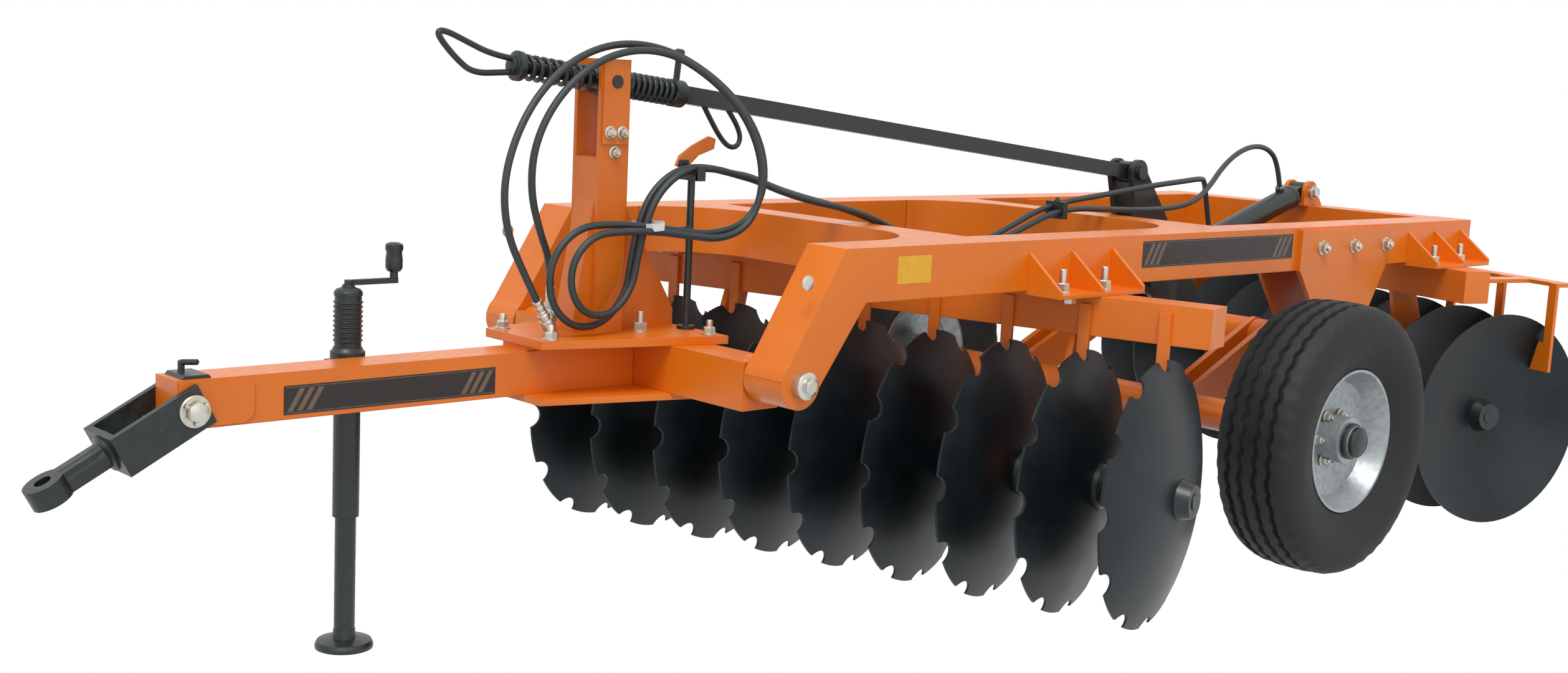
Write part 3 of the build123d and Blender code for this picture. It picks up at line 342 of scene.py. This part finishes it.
class Shape:
    """A mesh built up from simple solids, then made into one piece."""

    def __init__(self):
        self.bm = bmesh.new()

    def skin(self, rings, closed=False):
        """Joins rings of points into a wall, with a cap at both ends or the last to the first."""
        rows = [[self.bm.verts.new(point) for point in section] for section in rings]
        pairs = list(zip(rows, rows[1:]))
        if closed:
            pairs.append((rows[-1], rows[0]))
        for low, high in pairs:
            for here in range(len(low)):
                after = (here + 1) % len(low)
                self.bm.faces.new((low[here], low[after], high[after], high[here]))
        if not closed:
            self.bm.faces.new(rows[0])
            self.bm.faces.new(rows[-1])

    def prism(self, corners, offset):
        """A flat outline pushed along an offset, all in metres."""
        self.skin([corners, [corner + offset for corner in corners]])

    def box(self, low, high):
        """An upright box between two corners in mm."""
        plan = ((low[0], low[1]), (high[0], low[1]), (high[0], high[1]), (low[0], high[1]))
        self.flat_plate(plan, low[2], high[2])

    def side_plate(self, outline, low_x, high_x):
        """An upright plate square to the middle plane, its outline in mm back and up."""
        corners = [spot(low_x, y, z) for y, z in outline]
        self.prism(corners, Vector(((high_x - low_x) / 1000, 0, 0)))

    def flat_plate(self, outline, low_z, high_z):
        """A level plate, its outline in mm across and back."""
        corners = [spot(x, y, low_z) for x, y in outline]
        self.prism(corners, Vector((0, 0, (high_z - low_z) / 1000)))

    def turned(self, base, axis, profile, sides=32, hollow=False):
        """A turned solid, or a ring; its profile is (mm along the axis, mm radius)."""
        axis = axis.normalized()
        first, second = cross_pair(axis)
        rings = [
            ring(base + axis * (along / 1000), first, second, radius, sides) for along, radius in profile
        ]
        self.skin(rings, closed=hollow)

    def rod(self, start, end, radius, sides=20):
        """A round bar between two places, with a small chamfer at both ends."""
        length = (end - start).length * 1000
        soft = min(radius * 0.2, length * 0.2)
        self.turned(start, end - start, (
            (0, radius - soft), (soft, radius), (length - soft, radius), (length, radius - soft)), sides)

    def bolt(self, base, axis, across=24, proud=15, stud=0, washer=True):
        """A hexagon head or nut on its washer, with the stud standing out of it."""
        disc = across * WASHER_SHARE
        if washer:
            self.turned(base, axis, ((0, disc), (WASHER, disc), (WASHER + 0.5, across * 0.68)), 28)
        corner = across / 3 ** 0.5
        self.turned(base, axis, ((WASHER, corner), (proud - 2, corner), (proud, corner * 0.86)), 6)
        if stud:
            shank = across * STUD_SHARE
            tip = proud + stud
            self.turned(base, axis, ((proud - 1, shank), (tip - 2, shank), (tip, across * 0.24)), 16)

    def tube(self, points, radius, sides=12):
        """A round tube along points, carried along without twist."""
        last = len(points) - 1
        rings = []
        first = None
        for here, point in enumerate(points):
            way = (points[min(here + 1, last)] - points[max(here - 1, 0)]).normalized()
            if first is None:
                first = cross_pair(way)[0]
            first = (first - way * first.dot(way)).normalized()
            rings.append(ring(point, first, way.cross(first), radius, sides))
        self.skin(rings)

    def piece(self, name, slot, body=None, replaces=(), material=None):
        """Makes the mesh object, gives it its finish and puts it on its body, if it has one body."""
        bmesh.ops.recalc_face_normals(self.bm, faces=self.bm.faces[:])
        for edge in self.bm.edges:
            edge.smooth = edge.calc_face_angle(0.0) < SHARP_ANGLE
        for face in self.bm.faces:
            face.smooth = True
        data = bpy.data.meshes.new(name)
        self.bm.to_mesh(data)
        self.bm.free()
        data.materials.append(material or MATERIALS[slot])
        made = bpy.data.objects.new(name, data)
        bpy.context.scene.collection.objects.link(made)
        if body:
            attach(made, body)
        if replaces:
            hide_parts(*replaces)
        return made


def smooth_line(name, route, steps=10):
    """Points along one smooth curve that has the route as its control points."""
    data = bpy.data.curves.new(name, "CURVE")
    data.dimensions = "3D"
    data.resolution_u = steps
    spline = data.splines.new("NURBS")
    spline.points.add(len(route) - 1)
    for point, place in zip(spline.points, route):
        point.co = (*place, 1.0)
    spline.order_u = 3
    spline.use_endpoint_u = True
    carrier = bpy.data.objects.new(name, data)
    line = bpy.data.meshes.new_from_object(carrier)
    points = [vertex.co.copy() for vertex in line.vertices]
    bpy.data.objects.remove(carrier)
    bpy.data.curves.remove(data)
    bpy.data.meshes.remove(line)
    return points


# Hydraulic hoses. Each of the two is a rear cord, from its port on the cylinder to the clamp on
# the middle cross member, and a front cord, from there to its loops and coupler on the drawbar.
HOSE_RADIUS = 8.5
HOSE_STEPS = 9
REAR_LOWER = (
    (0, 2351.6, 880.9), (0, 2326, 966), (32, 2262, 1026), (84, 2168, 1038), (97, 2056, 1031),
    (102, 1930, 1023), (106, 1780, 1009), (110, 1610, 992), (113, 1460, 979), (114, 1397.5, 967.5),
)
FRONT_OUTER = (
    (114, 1397.5, 967.5), (115, 1335, 956), (117, 1232, 918), (118, 1130, 882), (118, 1010, 867),
    (117, 885, 872), (114, 765, 905), (110, 655, 950), (104, 545, 980), (96, 440, 1002),
    (86, 345, 1027), (77, 268, 1056), (79, 204, 1064), (83, 120, 1081), (82, 30, 1076),
    (77, -42, 1020), (75, -76, 940), (75, -92, 862), (78, -104, 786), (84, -173, 716),
    (91, -271, 714), (97, -340, 783), (103, -340, 881), (109, -272, 948), (114, -180, 953),
    (118, -80, 946), (120, 18, 932), (124, 112, 922), (131, 208, 944), (136, 264, 1018),
    (132, 262, 1118), (122, 205, 1218), (104, 106, 1301), (80, -12, 1357), (66, -140, 1366),
    (70, -262, 1328), (80, -362, 1254), (90, -432, 1158), (95, -468, 1048), (92, -454, 940),
    (84, -400, 844), (75, -340, 752),
)
REAR_UPPER = (
    (0, 2754, 1001.3), (0, 2728, 1086), (5, 2652, 1131), (15, 2545, 1138), (30, 2430, 1112),
    (52, 2322, 1066), (82, 2222, 1014), (112, 2115, 974), (130, 2000, 956), (139, 1870, 950),
    (143, 1740, 952), (145, 1600, 957), (146, 1470, 962), (146, 1410, 955),
)
FRONT_INNER = (
    (146, 1410, 955), (146, 1350, 948), (146, 1240, 910), (146, 1130, 876), (145, 1010, 862),
    (143, 885, 868), (139, 765, 902), (134, 655, 950), (128, 545, 978), (120, 440, 996),
    (110, 345, 1020), (101, 268, 1048), (101, 204, 1062), (105, 120, 1080), (104, 30, 1075),
    (99, -40, 1018), (97, -72, 940), (96, -90, 868), (98, -104, 799), (104, -161, 743),
    (110, -239, 742), (117, -295, 798), (124, -296, 877), (130, -241, 932), (136, -160, 938),
    (141, -64, 935), (145, 32, 922), (149, 122, 912), (156, 200, 942), (160, 236, 1022),
    (156, 230, 1116), (146, 180, 1212), (130, 92, 1290), (110, -14, 1346), (98, -130, 1352),
    (90, -240, 1310), (88, -330, 1230), (86, -382, 1132), (78, -384, 1030), (62, -346, 938),
    (45, -298, 856), (45, -298, 772),
)
PLATE_TOP_Z = 693


def make_coupler(name, route):
    """A quick coupler: the crimped ferrule on the hose's end, a collar and the socket below it."""
    end = spot(*route[-1])
    way = (end - spot(*route[-2])).normalized()
    reach = (end.z - PLATE_TOP_Z / 1000) / -way.z * 1000
    shape = Shape()
    shape.turned(end, way, (
        (-34, 9.2), (-33, 11), (-26, 11), (-25, 10.4), (-20, 10.4), (-19, 11), (-12, 11), (-11, 10.4),
        (-6, 10.4), (-5, 11.5), (2, 11.5), (3, 14), (12, 14), (13, 12), (18, 12), (19, 15.5), (20, 16),
        (44, 16), (45, 15.4), (46, 13), (reach - 8, 13), (reach - 1, 12)))
    return shape.piece(name, "zinc", "drawbar")


def make_hose(name, route):
    """A hose: one tube along a smooth line through its route's points, given in mm."""
    points = smooth_line(name, [spot(*place) for place in route], HOSE_STEPS)
    shape = Shape()
    shape.tube(points, HOSE_RADIUS)
    hose = shape.piece(name, "hose")
    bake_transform(hose)


def make_hoses():
    make_hose("hose_rear_lower", REAR_LOWER)
    clamp = Shape()
    clamp.box((98, 1391, 933), (162, 1411, 982))
    clamp.bolt(spot(130, 1401, 982), UP, 13, 9, 3)
    clamp.piece("hose_clamp", "dark", "frame")
    make_hose("hose_rear_upper", REAR_UPPER)
    for name, route in (("outer", FRONT_OUTER), ("inner", FRONT_INNER)):
        coupler = make_coupler(f"coupler_{name}", route)
        make_hose(f"hose_front_{name}", route)


def make_hose_stand():
    """Post with the saddle that the hoses lie on, its stay to the tie, and the catch lever."""
    shape = Shape()
    shape.rod(spot(93, 68, PLATE_TOP_Z - 2), spot(93, 68, 1062), 9)
    shape.rod(spot(96, 68, 934), spot(96, -58, 934), 6)
    shape.side_plate(((56, 1050), (80, 1050), (80, 1068), (56, 1068)), 58, 128)
    shape.box((56, 56, 1050), (66, 80, 1096))
    shape.box((122, 56, 1050), (130, 80, 1084))
    shape.turned(spot(93, 68, PLATE_TOP_Z - 1), UP, ((0, 22), (9, 22), (10, 20)))
    shape.piece("hose_stand", "dark", "drawbar", ["hose_holder"])
    lever = Shape()
    outline = (
        (50, 1082), (78, 1072), (118, 1106), (166, 1122), (170, 1146), (150, 1152), (100, 1130), (62, 1106))
    lever.side_plate(outline, 48, 56)
    lever.rod(spot(44, 64, 1086), spot(60, 64, 1086), 8)
    lever.piece("holder_lever", "paint", "drawbar")


TIE_HALF_WIDTH = 0.009
TIE_THICK = 0.0015


def make_tie():
    """White strap drawn tight round the strands where they cross the stay."""
    loop = [spot(*place) for place in (
        (62, -62, 945), (72, -50, 946), (110, -52, 948), (134, -48, 950), (154, -60, 948),
        (152, -82, 946), (130, -90, 944), (100, -88, 942), (72, -92, 942), (62, -80, 944))]
    shape = Shape()
    rise = UP * TIE_HALF_WIDTH
    rings = []
    for place, across in zip(loop, loop[5:] + loop[:5]):
        out = (place - across).normalized() * TIE_THICK
        rings.append([place - rise, place - rise + out, place + rise + out, place + rise])
    shape.skin(rings, closed=True)
    shape.piece("hose_tie", "zinc", "drawbar", material=TIE)


# Outer faces of the main frame's beams
BEAM_FACE = 576

# Drawbar: plates, crossbar, mast foot, decal bands and hardware
DRAWBAR_PLATE = ((-112, -366), (112, -366), (228, 88), (-228, 88))
CROSSBAR_LOW = 561
CROSSBAR_TOP = 673
CROSSBAR_HALF_DEPTH = 54
CROSSBAR_HALF_LENGTH = 446
HINGE_Z = 639
TONGUE_FACE = 50
CHEEK_THICK = 3
MAST_FACE = 51
EAR_THICK = 5


def make_drawbar():
    top = Shape()
    top.flat_plate(DRAWBAR_PLATE, CROSSBAR_TOP, PLATE_TOP_Z)
    top.box((-46, -362, 660), (46, -50, 674))
    top.piece("top_plate", "paint", "drawbar", ["drawbar_plate_top"])
    bottom = Shape()
    bottom.flat_plate(DRAWBAR_PLATE, 545, CROSSBAR_LOW)
    bottom.piece("bottom_plate", "paint", "drawbar", ["drawbar_plate_bottom"])
    bar = Shape()
    bar.box(
        (-CROSSBAR_HALF_LENGTH, -CROSSBAR_HALF_DEPTH, CROSSBAR_LOW),
        (CROSSBAR_HALF_LENGTH, CROSSBAR_HALF_DEPTH, CROSSBAR_TOP))
    for side in SIDES:
        bar.rod(spot(side * 400, 0, HINGE_Z), spot(side * 449, 0, HINGE_Z), 44, 36)
    bar.piece("crossbar", "paint", "drawbar", ["drawbar_crossbar"])
    cheeks = Shape()
    outline = ((-1188, 563), (-1188, 659), (-1046, 657), (-1026, 640), (-1026, 582), (-1046, 565))
    cheeks.side_plate(outline, TONGUE_FACE, TONGUE_FACE + CHEEK_THICK)
    # The far cheek is a bare face, with no thickness
    cheeks.side_plate(outline, -TONGUE_FACE, -TONGUE_FACE)
    cheeks.piece("tongue_cheeks", "paint", "drawbar")
    foot = Shape()
    low = PLATE_TOP_Z - 2
    foot.side_plate(((-176, 1000), (-224, 735), (-224, low), (72, low), (72, 735), (-92, 1000)), -36, 36)
    ear = ((-172, 1130), (-172, 1322), (-168, 1326), (-100, 1326), (-96, 1322), (-96, 1130))
    for side in SIDES:
        foot.side_plate(ear, *sorted((side * MAST_FACE, side * (MAST_FACE + EAR_THICK))))
    foot.piece("mast_foot", "paint", "drawbar")
    bolts = Shape()
    for side in SIDES:
        out = Vector((side, 0, 0))
        for y in (-152, -116):
            bolts.bolt(spot(side * (MAST_FACE + EAR_THICK), y, 1158), out, 22, 14, 6)
        bolts.bolt(spot(side * MAST_FACE, -134, 1112), out, 22, 14, 6)
        for x, y in ((96, -330), (190, 60)):
            bolts.bolt(spot(side * x, y, PLATE_TOP_Z), UP, 26, 18, 16)
        bolts.bolt(spot(side * 78, -60, PLATE_TOP_Z), UP, 30, 22, 26)
    bolts.piece("drawbar_bolts", "zinc", "drawbar")


FILM = 0.5
STRIPE_COUNT = 3
STRIPE_MARGIN = 8


def make_decals():
    """Dark bands with plain diagonal stripes at both ends, where the lettering is left off."""
    bands = (
        ("tongue", "drawbar", TONGUE_FACE, -962, -446, 571, 632),
        ("beam", "frame", BEAM_FACE, 1214, 1932, 848, 918),
    )
    for name, body, face, front, rear, low, high in bands:
        tall = high - low
        step = tall * 0.36
        lean = tall * 0.66
        width = step * 0.56
        starts = [front + STRIPE_MARGIN + number * step for number in range(STRIPE_COUNT)]
        starts += [rear - STRIPE_MARGIN - tall * 0.62 - number * step for number in range(STRIPE_COUNT)]
        band = Shape()
        stripes = Shape()
        for side in SIDES:
            out = side * (face + FILM)
            inner, outer = sorted((side * (face - 1), out))
            band.box((inner, front, low), (outer, rear, high))
            layer = sorted((out - side * 0.3, out + side * 0.25))
            for begin in starts:
                stripes.side_plate((
                    (begin, low + 7), (begin + width, low + 7),
                    (begin + lean, high - 7), (begin + lean - width, high - 7)), *layer)
            for z in (low + 3, high - 4.5):
                stripes.side_plate(
                    ((front + 3, z), (rear - 3, z), (rear - 3, z + 1.5), (front + 3, z + 1.5)), *layer)
        band.piece(f"{name}_decal", "dark", body, material=DECAL)
        stripes.piece(f"{name}_decal_stripes", "dark", body, material=STRIPE)
    sticker = Shape()
    sticker.box((BEAM_FACE - 1, 288, 848), (BEAM_FACE + 0.6, 400, 912))
    sticker.piece("yellow_sticker", "paint", "frame", material=STICKER)


HITCH_PIN = spot(0, -1161, 601)
HITCH_DROOP = radians(28)
CLEVIS_FACE = 0.064
PIN_FLANGE = 0.008


def make_hitch():
    """Collar and round bar of the drooping clevis, the heads of its pin and the tongue's tab."""
    way = Vector((0, -cos(HITCH_DROOP), -sin(HITCH_DROOP)))
    shape = Shape()
    shape.turned(HITCH_PIN + way * 0.155, way, ((-4, 40), (18, 40), (22, 34), (24, 27), (40, 25)))
    shape.rod(HITCH_PIN + way * 0.17, HITCH_PIN + way * 0.27, 24, 28)
    head = Shape()
    for side in SIDES:
        out = Vector((side, 0, 0))
        shape.turned(HITCH_PIN + way * 0.06 + out * 0.044, out, ((0, 8), (22, 8)), 16)
        head.turned(HITCH_PIN + out * CLEVIS_FACE, out, ((0, 33), (6, 33), (8, 31)), 36)
        face = HITCH_PIN + out * (CLEVIS_FACE + PIN_FLANGE)
        head.bolt(face, out, 38, 17, washer=False)
        for turn in (30, 150, 270):
            away = Vector((0, cos(radians(turn)), sin(radians(turn)))) * 0.024
            head.bolt(face + away, out, 9, 6, washer=False)
    shape.piece("hitch_collar", "dark", "hitch")
    head.piece("hitch_pin_heads", "zinc", "hitch")
    tab = Shape()
    tab.rod(spot(-20, -1150, 655), spot(-20, -1150, 690), 7)
    tab.rod(spot(-20, -1150, 686), spot(16, -1132, 690), 6)
    tab.side_plate(((-1178, 659), (-1112, 659), (-1120, 668), (-1170, 668)), -40, 40)
    tab.piece("tongue_tab", "dark", "drawbar")


JACK_PLACE = (-86, -740)
JACK_TUBE_RADIUS = 28
RIB_COUNT = 9
RIB_PITCH = 10.5


def make_jack():
    """Collars and ribbed sleeve round the parking jack's tube, its crank knob and dished foot."""
    inner = JACK_TUBE_RADIUS
    shape = Shape()
    shape.turned(
        spot(*JACK_PLACE, 655), UP,
        ((0, inner), (0, 38), (14, 38), (17, 34), (24, 31), (24, inner)), hollow=True)
    shape.turned(
        spot(*JACK_PLACE, 548), UP, ((0, inner), (0, 36), (12, 36), (14, 32), (14, inner)), hollow=True)
    for rib in range(RIB_COUNT):
        height = 690 + rib * RIB_PITCH
        shape.turned(spot(*JACK_PLACE, height), UP, ((0, inner), (2.5, 32), (5, 32), (7.5, inner)), 28, True)
    shape.turned(spot(*JACK_PLACE, 792), UP, ((0, 31), (8, 31), (14, 26), (18, 14), (24, 13)))
    shape.box((-72, -772, 560), (-50, -708, 575))
    shape.piece("jack_collar", "dark", "drawbar")
    knob = Shape()
    knob.turned(
        spot(-86, -628, 838), UP,
        ((0, 9), (3, 15), (10, 19), (30, 19), (44, 17), (52, 20), (62, 19), (66, 12)), 28)
    knob.turned(spot(*JACK_PLACE, 800), UP, ((0, 16), (10, 16), (12, 12)), 24)
    knob.piece("jack_knob", "dark", "drawbar")
    foot = Shape()
    foot.turned(spot(*JACK_PLACE, 2), UP, ((0, 62), (6, 64), (14, 60), (18, 40), (20, 26), (40, 24)), 40)
    foot.piece("jack_foot", "dark", "jack")


# Levelling link, in its own frame: along the bar, up from it and across, in mm
LINK_PLACE = spot(0, -115, 1273)
LINK_WAY = Vector((0, 0.99413, -0.10828))
LINK_UP = Vector((0, 0.10828, 0.99413))


def on_link(along, rise=0.0, across=0.0):
    return LINK_PLACE + (LINK_WAY * along + LINK_UP * rise + Vector((1, 0, 0)) * across) / 1000


COIL_WIRE = 5.5
BAIL_STEPS = 6
COIL_STEPS = 20


def coil(start, end, radius, turns):
    """Points of a helix about the link's axis."""
    count = turns * COIL_STEPS
    points = []
    for k in range(count + 1):
        angle = 2 * pi * k / COIL_STEPS
        points.append(on_link(start + (end - start) * k / count, radius * sin(angle), radius * cos(angle)))
    return points


def make_link():
    """The link's spring ahead of the mast, its screw and T handle behind, and its two rod bails."""
    spring = Shape()
    spring.tube(coil(-52, -254, 25, 9), COIL_WIRE, 10)
    spring.turned(on_link(-254), LINK_WAY, ((-15, 28), (-12, 34), (0, 34)), 32)
    spring.turned(on_link(-38), LINK_WAY, ((0, 33), (14, 33)), 32)
    spring.rod(on_link(-256), on_link(-30), 15)
    spring.turned(on_link(-269), -LINK_WAY, ((-2, 20), (10, 20), (14, 14)))
    spring.piece("spring_coil", "dark", "link", ["link_spring"])
    screw = Shape()
    screw.tube(coil(48, 186, 27, 8), COIL_WIRE, 10)
    screw.turned(on_link(182), LINK_WAY, ((0, 30), (2, 33), (34, 33), (36, 30)))
    screw.rod(on_link(198, 20), on_link(198, 92), 8)
    screw.turned(on_link(198, 84), LINK_UP, ((0, 9), (4, 13), (18, 13), (22, 8)))
    screw.turned(on_link(40), LINK_WAY, ((0, 32), (10, 32)))
    screw.piece("link_screw", "dark", "link")
    bails = Shape()
    front = [on_link(along, rise) for along, rise in (
        (-261, -14), (-299, -20), (-374, -32), (-419, -8), (-465, 28), (-475, 46), (-451, 48), (-407, 36),
        (-326, 14), (-261, 14))]
    bails.tube(smooth_line("front_bail_line", front, BAIL_STEPS), 7)
    hanging = [on_link(along, rise) for along, rise in (
        (288, -12), (318, -46), (356, -86), (388, -108), (416, -106), (426, -82), (410, -54), (384, -28),
        (366, -12))]
    bails.tube(smooth_line("hanging_bail_line", hanging, BAIL_STEPS), 6.5)
    bails.piece("link_bails", "dark", "link")


# Lift cylinder: the line from its lug to the lever, and where its two ports are along it
CYLINDER_LUG = spot(0, 2885, 982)
CYLINDER_WAY = Vector((0, -0.95810, -0.28645))
CYLINDER_UP = Vector((0, -0.28645, 0.95810))
PORTS = (0.120, 0.540)


def make_cylinder_ports():
    """Threaded ports on the barrel with the hoses' swivel nuts, the gland and the end ring."""
    shape = Shape()
    nuts = Shape()
    for along in PORTS:
        port = CYLINDER_LUG + CYLINDER_WAY * along
        shape.turned(port, CYLINDER_UP, ((34, 15), (48, 15), (49, 13), (56, 12)), 24)
        nuts.turned(port, CYLINDER_UP, ((47, 14), (55, 14)), 6)
    shape.turned(
        CYLINDER_LUG + CYLINDER_WAY * 0.566, CYLINDER_WAY,
        ((0, 41), (3, 42), (20, 42), (23, 38), (24, 22), (30, 20)), 36)
    shape.turned(
        CYLINDER_LUG + CYLINDER_WAY * 0.060, CYLINDER_WAY, ((0, 38), (3, 40), (16, 40), (18, 38)), 36)
    shape.piece("cylinder_ports", "dark", "barrel")
    nuts.piece("port_nuts", "zinc", "barrel")


# Main frame hardware: hanger bolts, gang bracket studs, leg plugs, hinge pin heads, lug nuts
HANGER_FACE = 590
HANGER_BOLT_Z = 875
BRACKET_STUD_X = 632
NEAR_BRACKETS = (752, 2593)
FAR_BRACKETS = (477, 2826)


def make_frame_bolts():
    shape = Shape()
    for side in SIDES:
        out = Vector((side, 0, 0))
        for y in (2070, 2245, 2430):
            shape.bolt(spot(side * HANGER_FACE, y, HANGER_BOLT_Z), out, 30, 19, 8)
        for start in NEAR_BRACKETS if side > 0 else FAR_BRACKETS:
            for y in (start + 66, start + 232):
                shape.bolt(spot(side * BRACKET_STUD_X, y, 810), UP, 30, 24, 34)
                shape.bolt(spot(side * BRACKET_STUD_X, y + 30, 800), -UP, 30, 20)
        shape.turned(spot(side * BEAM_FACE, 5, 864), out, ((0, 17), (3, 17), (5, 14)))
        shape.turned(spot(side * 602, 0, HINGE_Z), out, ((-26, 31), (-2, 31), (0, 28)), 36)
        shape.bolt(spot(side * 601, 0, HINGE_Z), out, 30, 14, washer=False)
        shape.bolt(spot(side * 54, 2885, 982), out, 32, 16)
    shape.piece("frame_bolts", "zinc", "frame")


# Wheels: ribbed implement tyres, wheel nuts and hub caps
WHEEL_X = 808
WHEEL_Y = 1801
WHEEL_Z = 380
TYRE_RINGS = 180
SIDEWALL = (
    (-86, 203), (-92, 214), (-104, 236), (-116, 268), (-121.5, 298), (-119, 326), (-113, 346),
    (-106, 357), (-104, 362), (-98, 366), (-92, 369),
)
GROOVES = ((-62, 9), (-22, 10), (22, 10), (62, 9))
GROOVE_DEPTH = 11
WEAVE = 3.0
CROWN = 379.5
CROWN_FALL = 9
CROWN_HALF = 92
# Points of a section that the gaps between the shoulders' lugs lower
SHOULDERS = (7, 8, 28, 29)
LUG_DEPTH = 4
NUT_COUNT = 6
NUT_CIRCLE = 70
NUT_FACE = 22


def tyre_section(turn):
    """Places across and radii round one section of a tyre, whose grooves weave along the tread."""
    weave = WEAVE if int(turn * TYRE_RINGS / 2) % 2 else -WEAVE
    outline = list(SIDEWALL)
    for centre, width in GROOVES:
        middle = centre + weave
        crown = CROWN - (abs(centre) / CROWN_HALF) ** 2 * CROWN_FALL
        low = crown - GROOVE_DEPTH
        outline += [
            (middle - width, crown), (middle - width * 0.55, low),
            (middle + width * 0.55, low), (middle + width, crown)]
    outline += [(-x, radius) for x, radius in reversed(SIDEWALL)]
    return outline


def tyre_ring(centre, step):
    """One section's points in metres, lower at the shoulders between two lugs."""
    outline = tyre_section(step / TYRE_RINGS)
    if step % 4 < 2:
        for number in SHOULDERS:
            x, radius = outline[number]
            outline[number] = (x, radius - LUG_DEPTH)
    angle = 2 * pi * step / TYRE_RINGS
    return [
        centre + Vector((x, radius * cos(angle), radius * sin(angle))) / 1000 for x, radius in outline
    ]


def make_wheels():
    for name, side in (("left", 1), ("right", -1)):
        centre = spot(side * WHEEL_X, WHEEL_Y, WHEEL_Z)
        out = Vector((side, 0, 0))
        tyre = Shape()
        tyre.skin([tyre_ring(centre, step) for step in range(TYRE_RINGS)], closed=True)
        tyre.piece(f"ribbed_tyre_{name}", "tyre", f"wheel_{name}", [f"tyre_{name}"])
        nuts = Shape()
        for number in range(NUT_COUNT):
            angle = 2 * pi * number / NUT_COUNT
            away = Vector((side * NUT_FACE, NUT_CIRCLE * cos(angle), NUT_CIRCLE * sin(angle))) / 1000
            nuts.bolt(centre + away, out, 22, 16, 8)
        nuts.piece(f"wheel_nuts_{name}", "zinc", f"wheel_{name}")
        hub = Shape()
        hub.turned(
            centre + out * 0.080, out, ((0, 50), (12, 50), (16, 44), (30, 42), (36, 34), (38, 10)), 36)
        hub.piece(f"hub_cap_{name}", "dark", f"wheel_{name}")


make_hoses()
make_hose_stand()
make_tie()
make_drawbar()
make_decals()
make_hitch()
make_jack()
make_link()
make_cylinder_ports()
make_frame_bolts()
make_wheels()

# Floor and light. The floor and the world show as white, and light the machine plainly.
FLOOR_HALF = 30.0
FLOOR_GREY = (0.55, 0.55, 0.55, 1)
WORLD_LIGHT = 0.52
KEY_ENERGY = 2.1
KEY_ANGLE = 30
FILL_ENERGY = 0.5
FILL_ANGLE = 60


def white_to_the_eye(nodes, links):
    """1 for camera, glossy and transmitted rays, to which the floor and the world are white."""
    paths = nodes.new("ShaderNodeLightPath")
    seen = paths.outputs["Is Camera Ray"]
    for ray in ("Is Glossy Ray", "Is Transmission Ray"):
        either = nodes.new("ShaderNodeMath")
        either.operation = "MAXIMUM"
        links.new(seen, either.inputs[0])
        links.new(paths.outputs[ray], either.inputs[1])
        seen = either.outputs[0]
    return seen


def make_world():
    world = bpy.data.worlds.new("studio")
    bpy.context.scene.world = world
    world.use_nodes = True
    nodes = world.node_tree.nodes
    links = world.node_tree.links
    nodes.clear()
    out = nodes.new("ShaderNodeOutputWorld")
    dim = nodes.new("ShaderNodeBackground")
    dim.inputs["Color"].default_value = (1, 1, 1, 1)
    dim.inputs["Strength"].default_value = WORLD_LIGHT
    white = nodes.new("ShaderNodeBackground")
    white.inputs["Color"].default_value = (1, 1, 1, 1)
    white.inputs["Strength"].default_value = 1.0
    mix = nodes.new("ShaderNodeMixShader")
    links.new(white_to_the_eye(nodes, links), mix.inputs["Fac"])
    links.new(dim.outputs["Background"], mix.inputs[1])
    links.new(white.outputs["Background"], mix.inputs[2])
    links.new(mix.outputs["Shader"], out.inputs["Surface"])


def make_floor():
    mesh = bpy.data.meshes.new("floor")
    corners = [(x * FLOOR_HALF, y * FLOOR_HALF, 0) for x, y in ((-1, -1), (1, -1), (1, 1), (-1, 1))]
    mesh.from_pydata(corners, [], [(0, 1, 2, 3)])
    floor = bpy.data.objects.new("floor", mesh)
    bpy.context.scene.collection.objects.link(floor)
    tree = Tree("pale_floor")
    diffuse = tree.nodes.new("ShaderNodeBsdfDiffuse")
    diffuse.inputs["Color"].default_value = FLOOR_GREY
    white = tree.nodes.new("ShaderNodeEmission")
    white.inputs["Strength"].default_value = 1.0
    mix = tree.nodes.new("ShaderNodeMixShader")
    tree.links.new(white_to_the_eye(tree.nodes, tree.links), mix.inputs["Fac"])
    tree.links.new(diffuse.outputs["BSDF"], mix.inputs[1])
    tree.links.new(white.outputs["Emission"], mix.inputs[2])
    tree.links.new(mix.outputs["Shader"], tree.out.inputs["Surface"])
    mesh.materials.append(tree.material)


def make_sun(name, energy, angle, toward):
    data = bpy.data.lights.new(name, "SUN")
    data.energy = energy
    data.angle = radians(angle)
    lamp = bpy.data.objects.new(name, data)
    bpy.context.scene.collection.objects.link(lamp)
    lamp.rotation_euler = Vector(toward).to_track_quat("-Z", "Y").to_euler()


make_world()
make_floor()
make_sun("key", KEY_ENERGY, KEY_ANGLE, (-0.35, 0.45, -1.0))
make_sun("fill", FILL_ENERGY, FILL_ANGLE, (-1.0, 0.25, -0.35))
bpy.context.scene.view_settings.view_transform = "Standard"
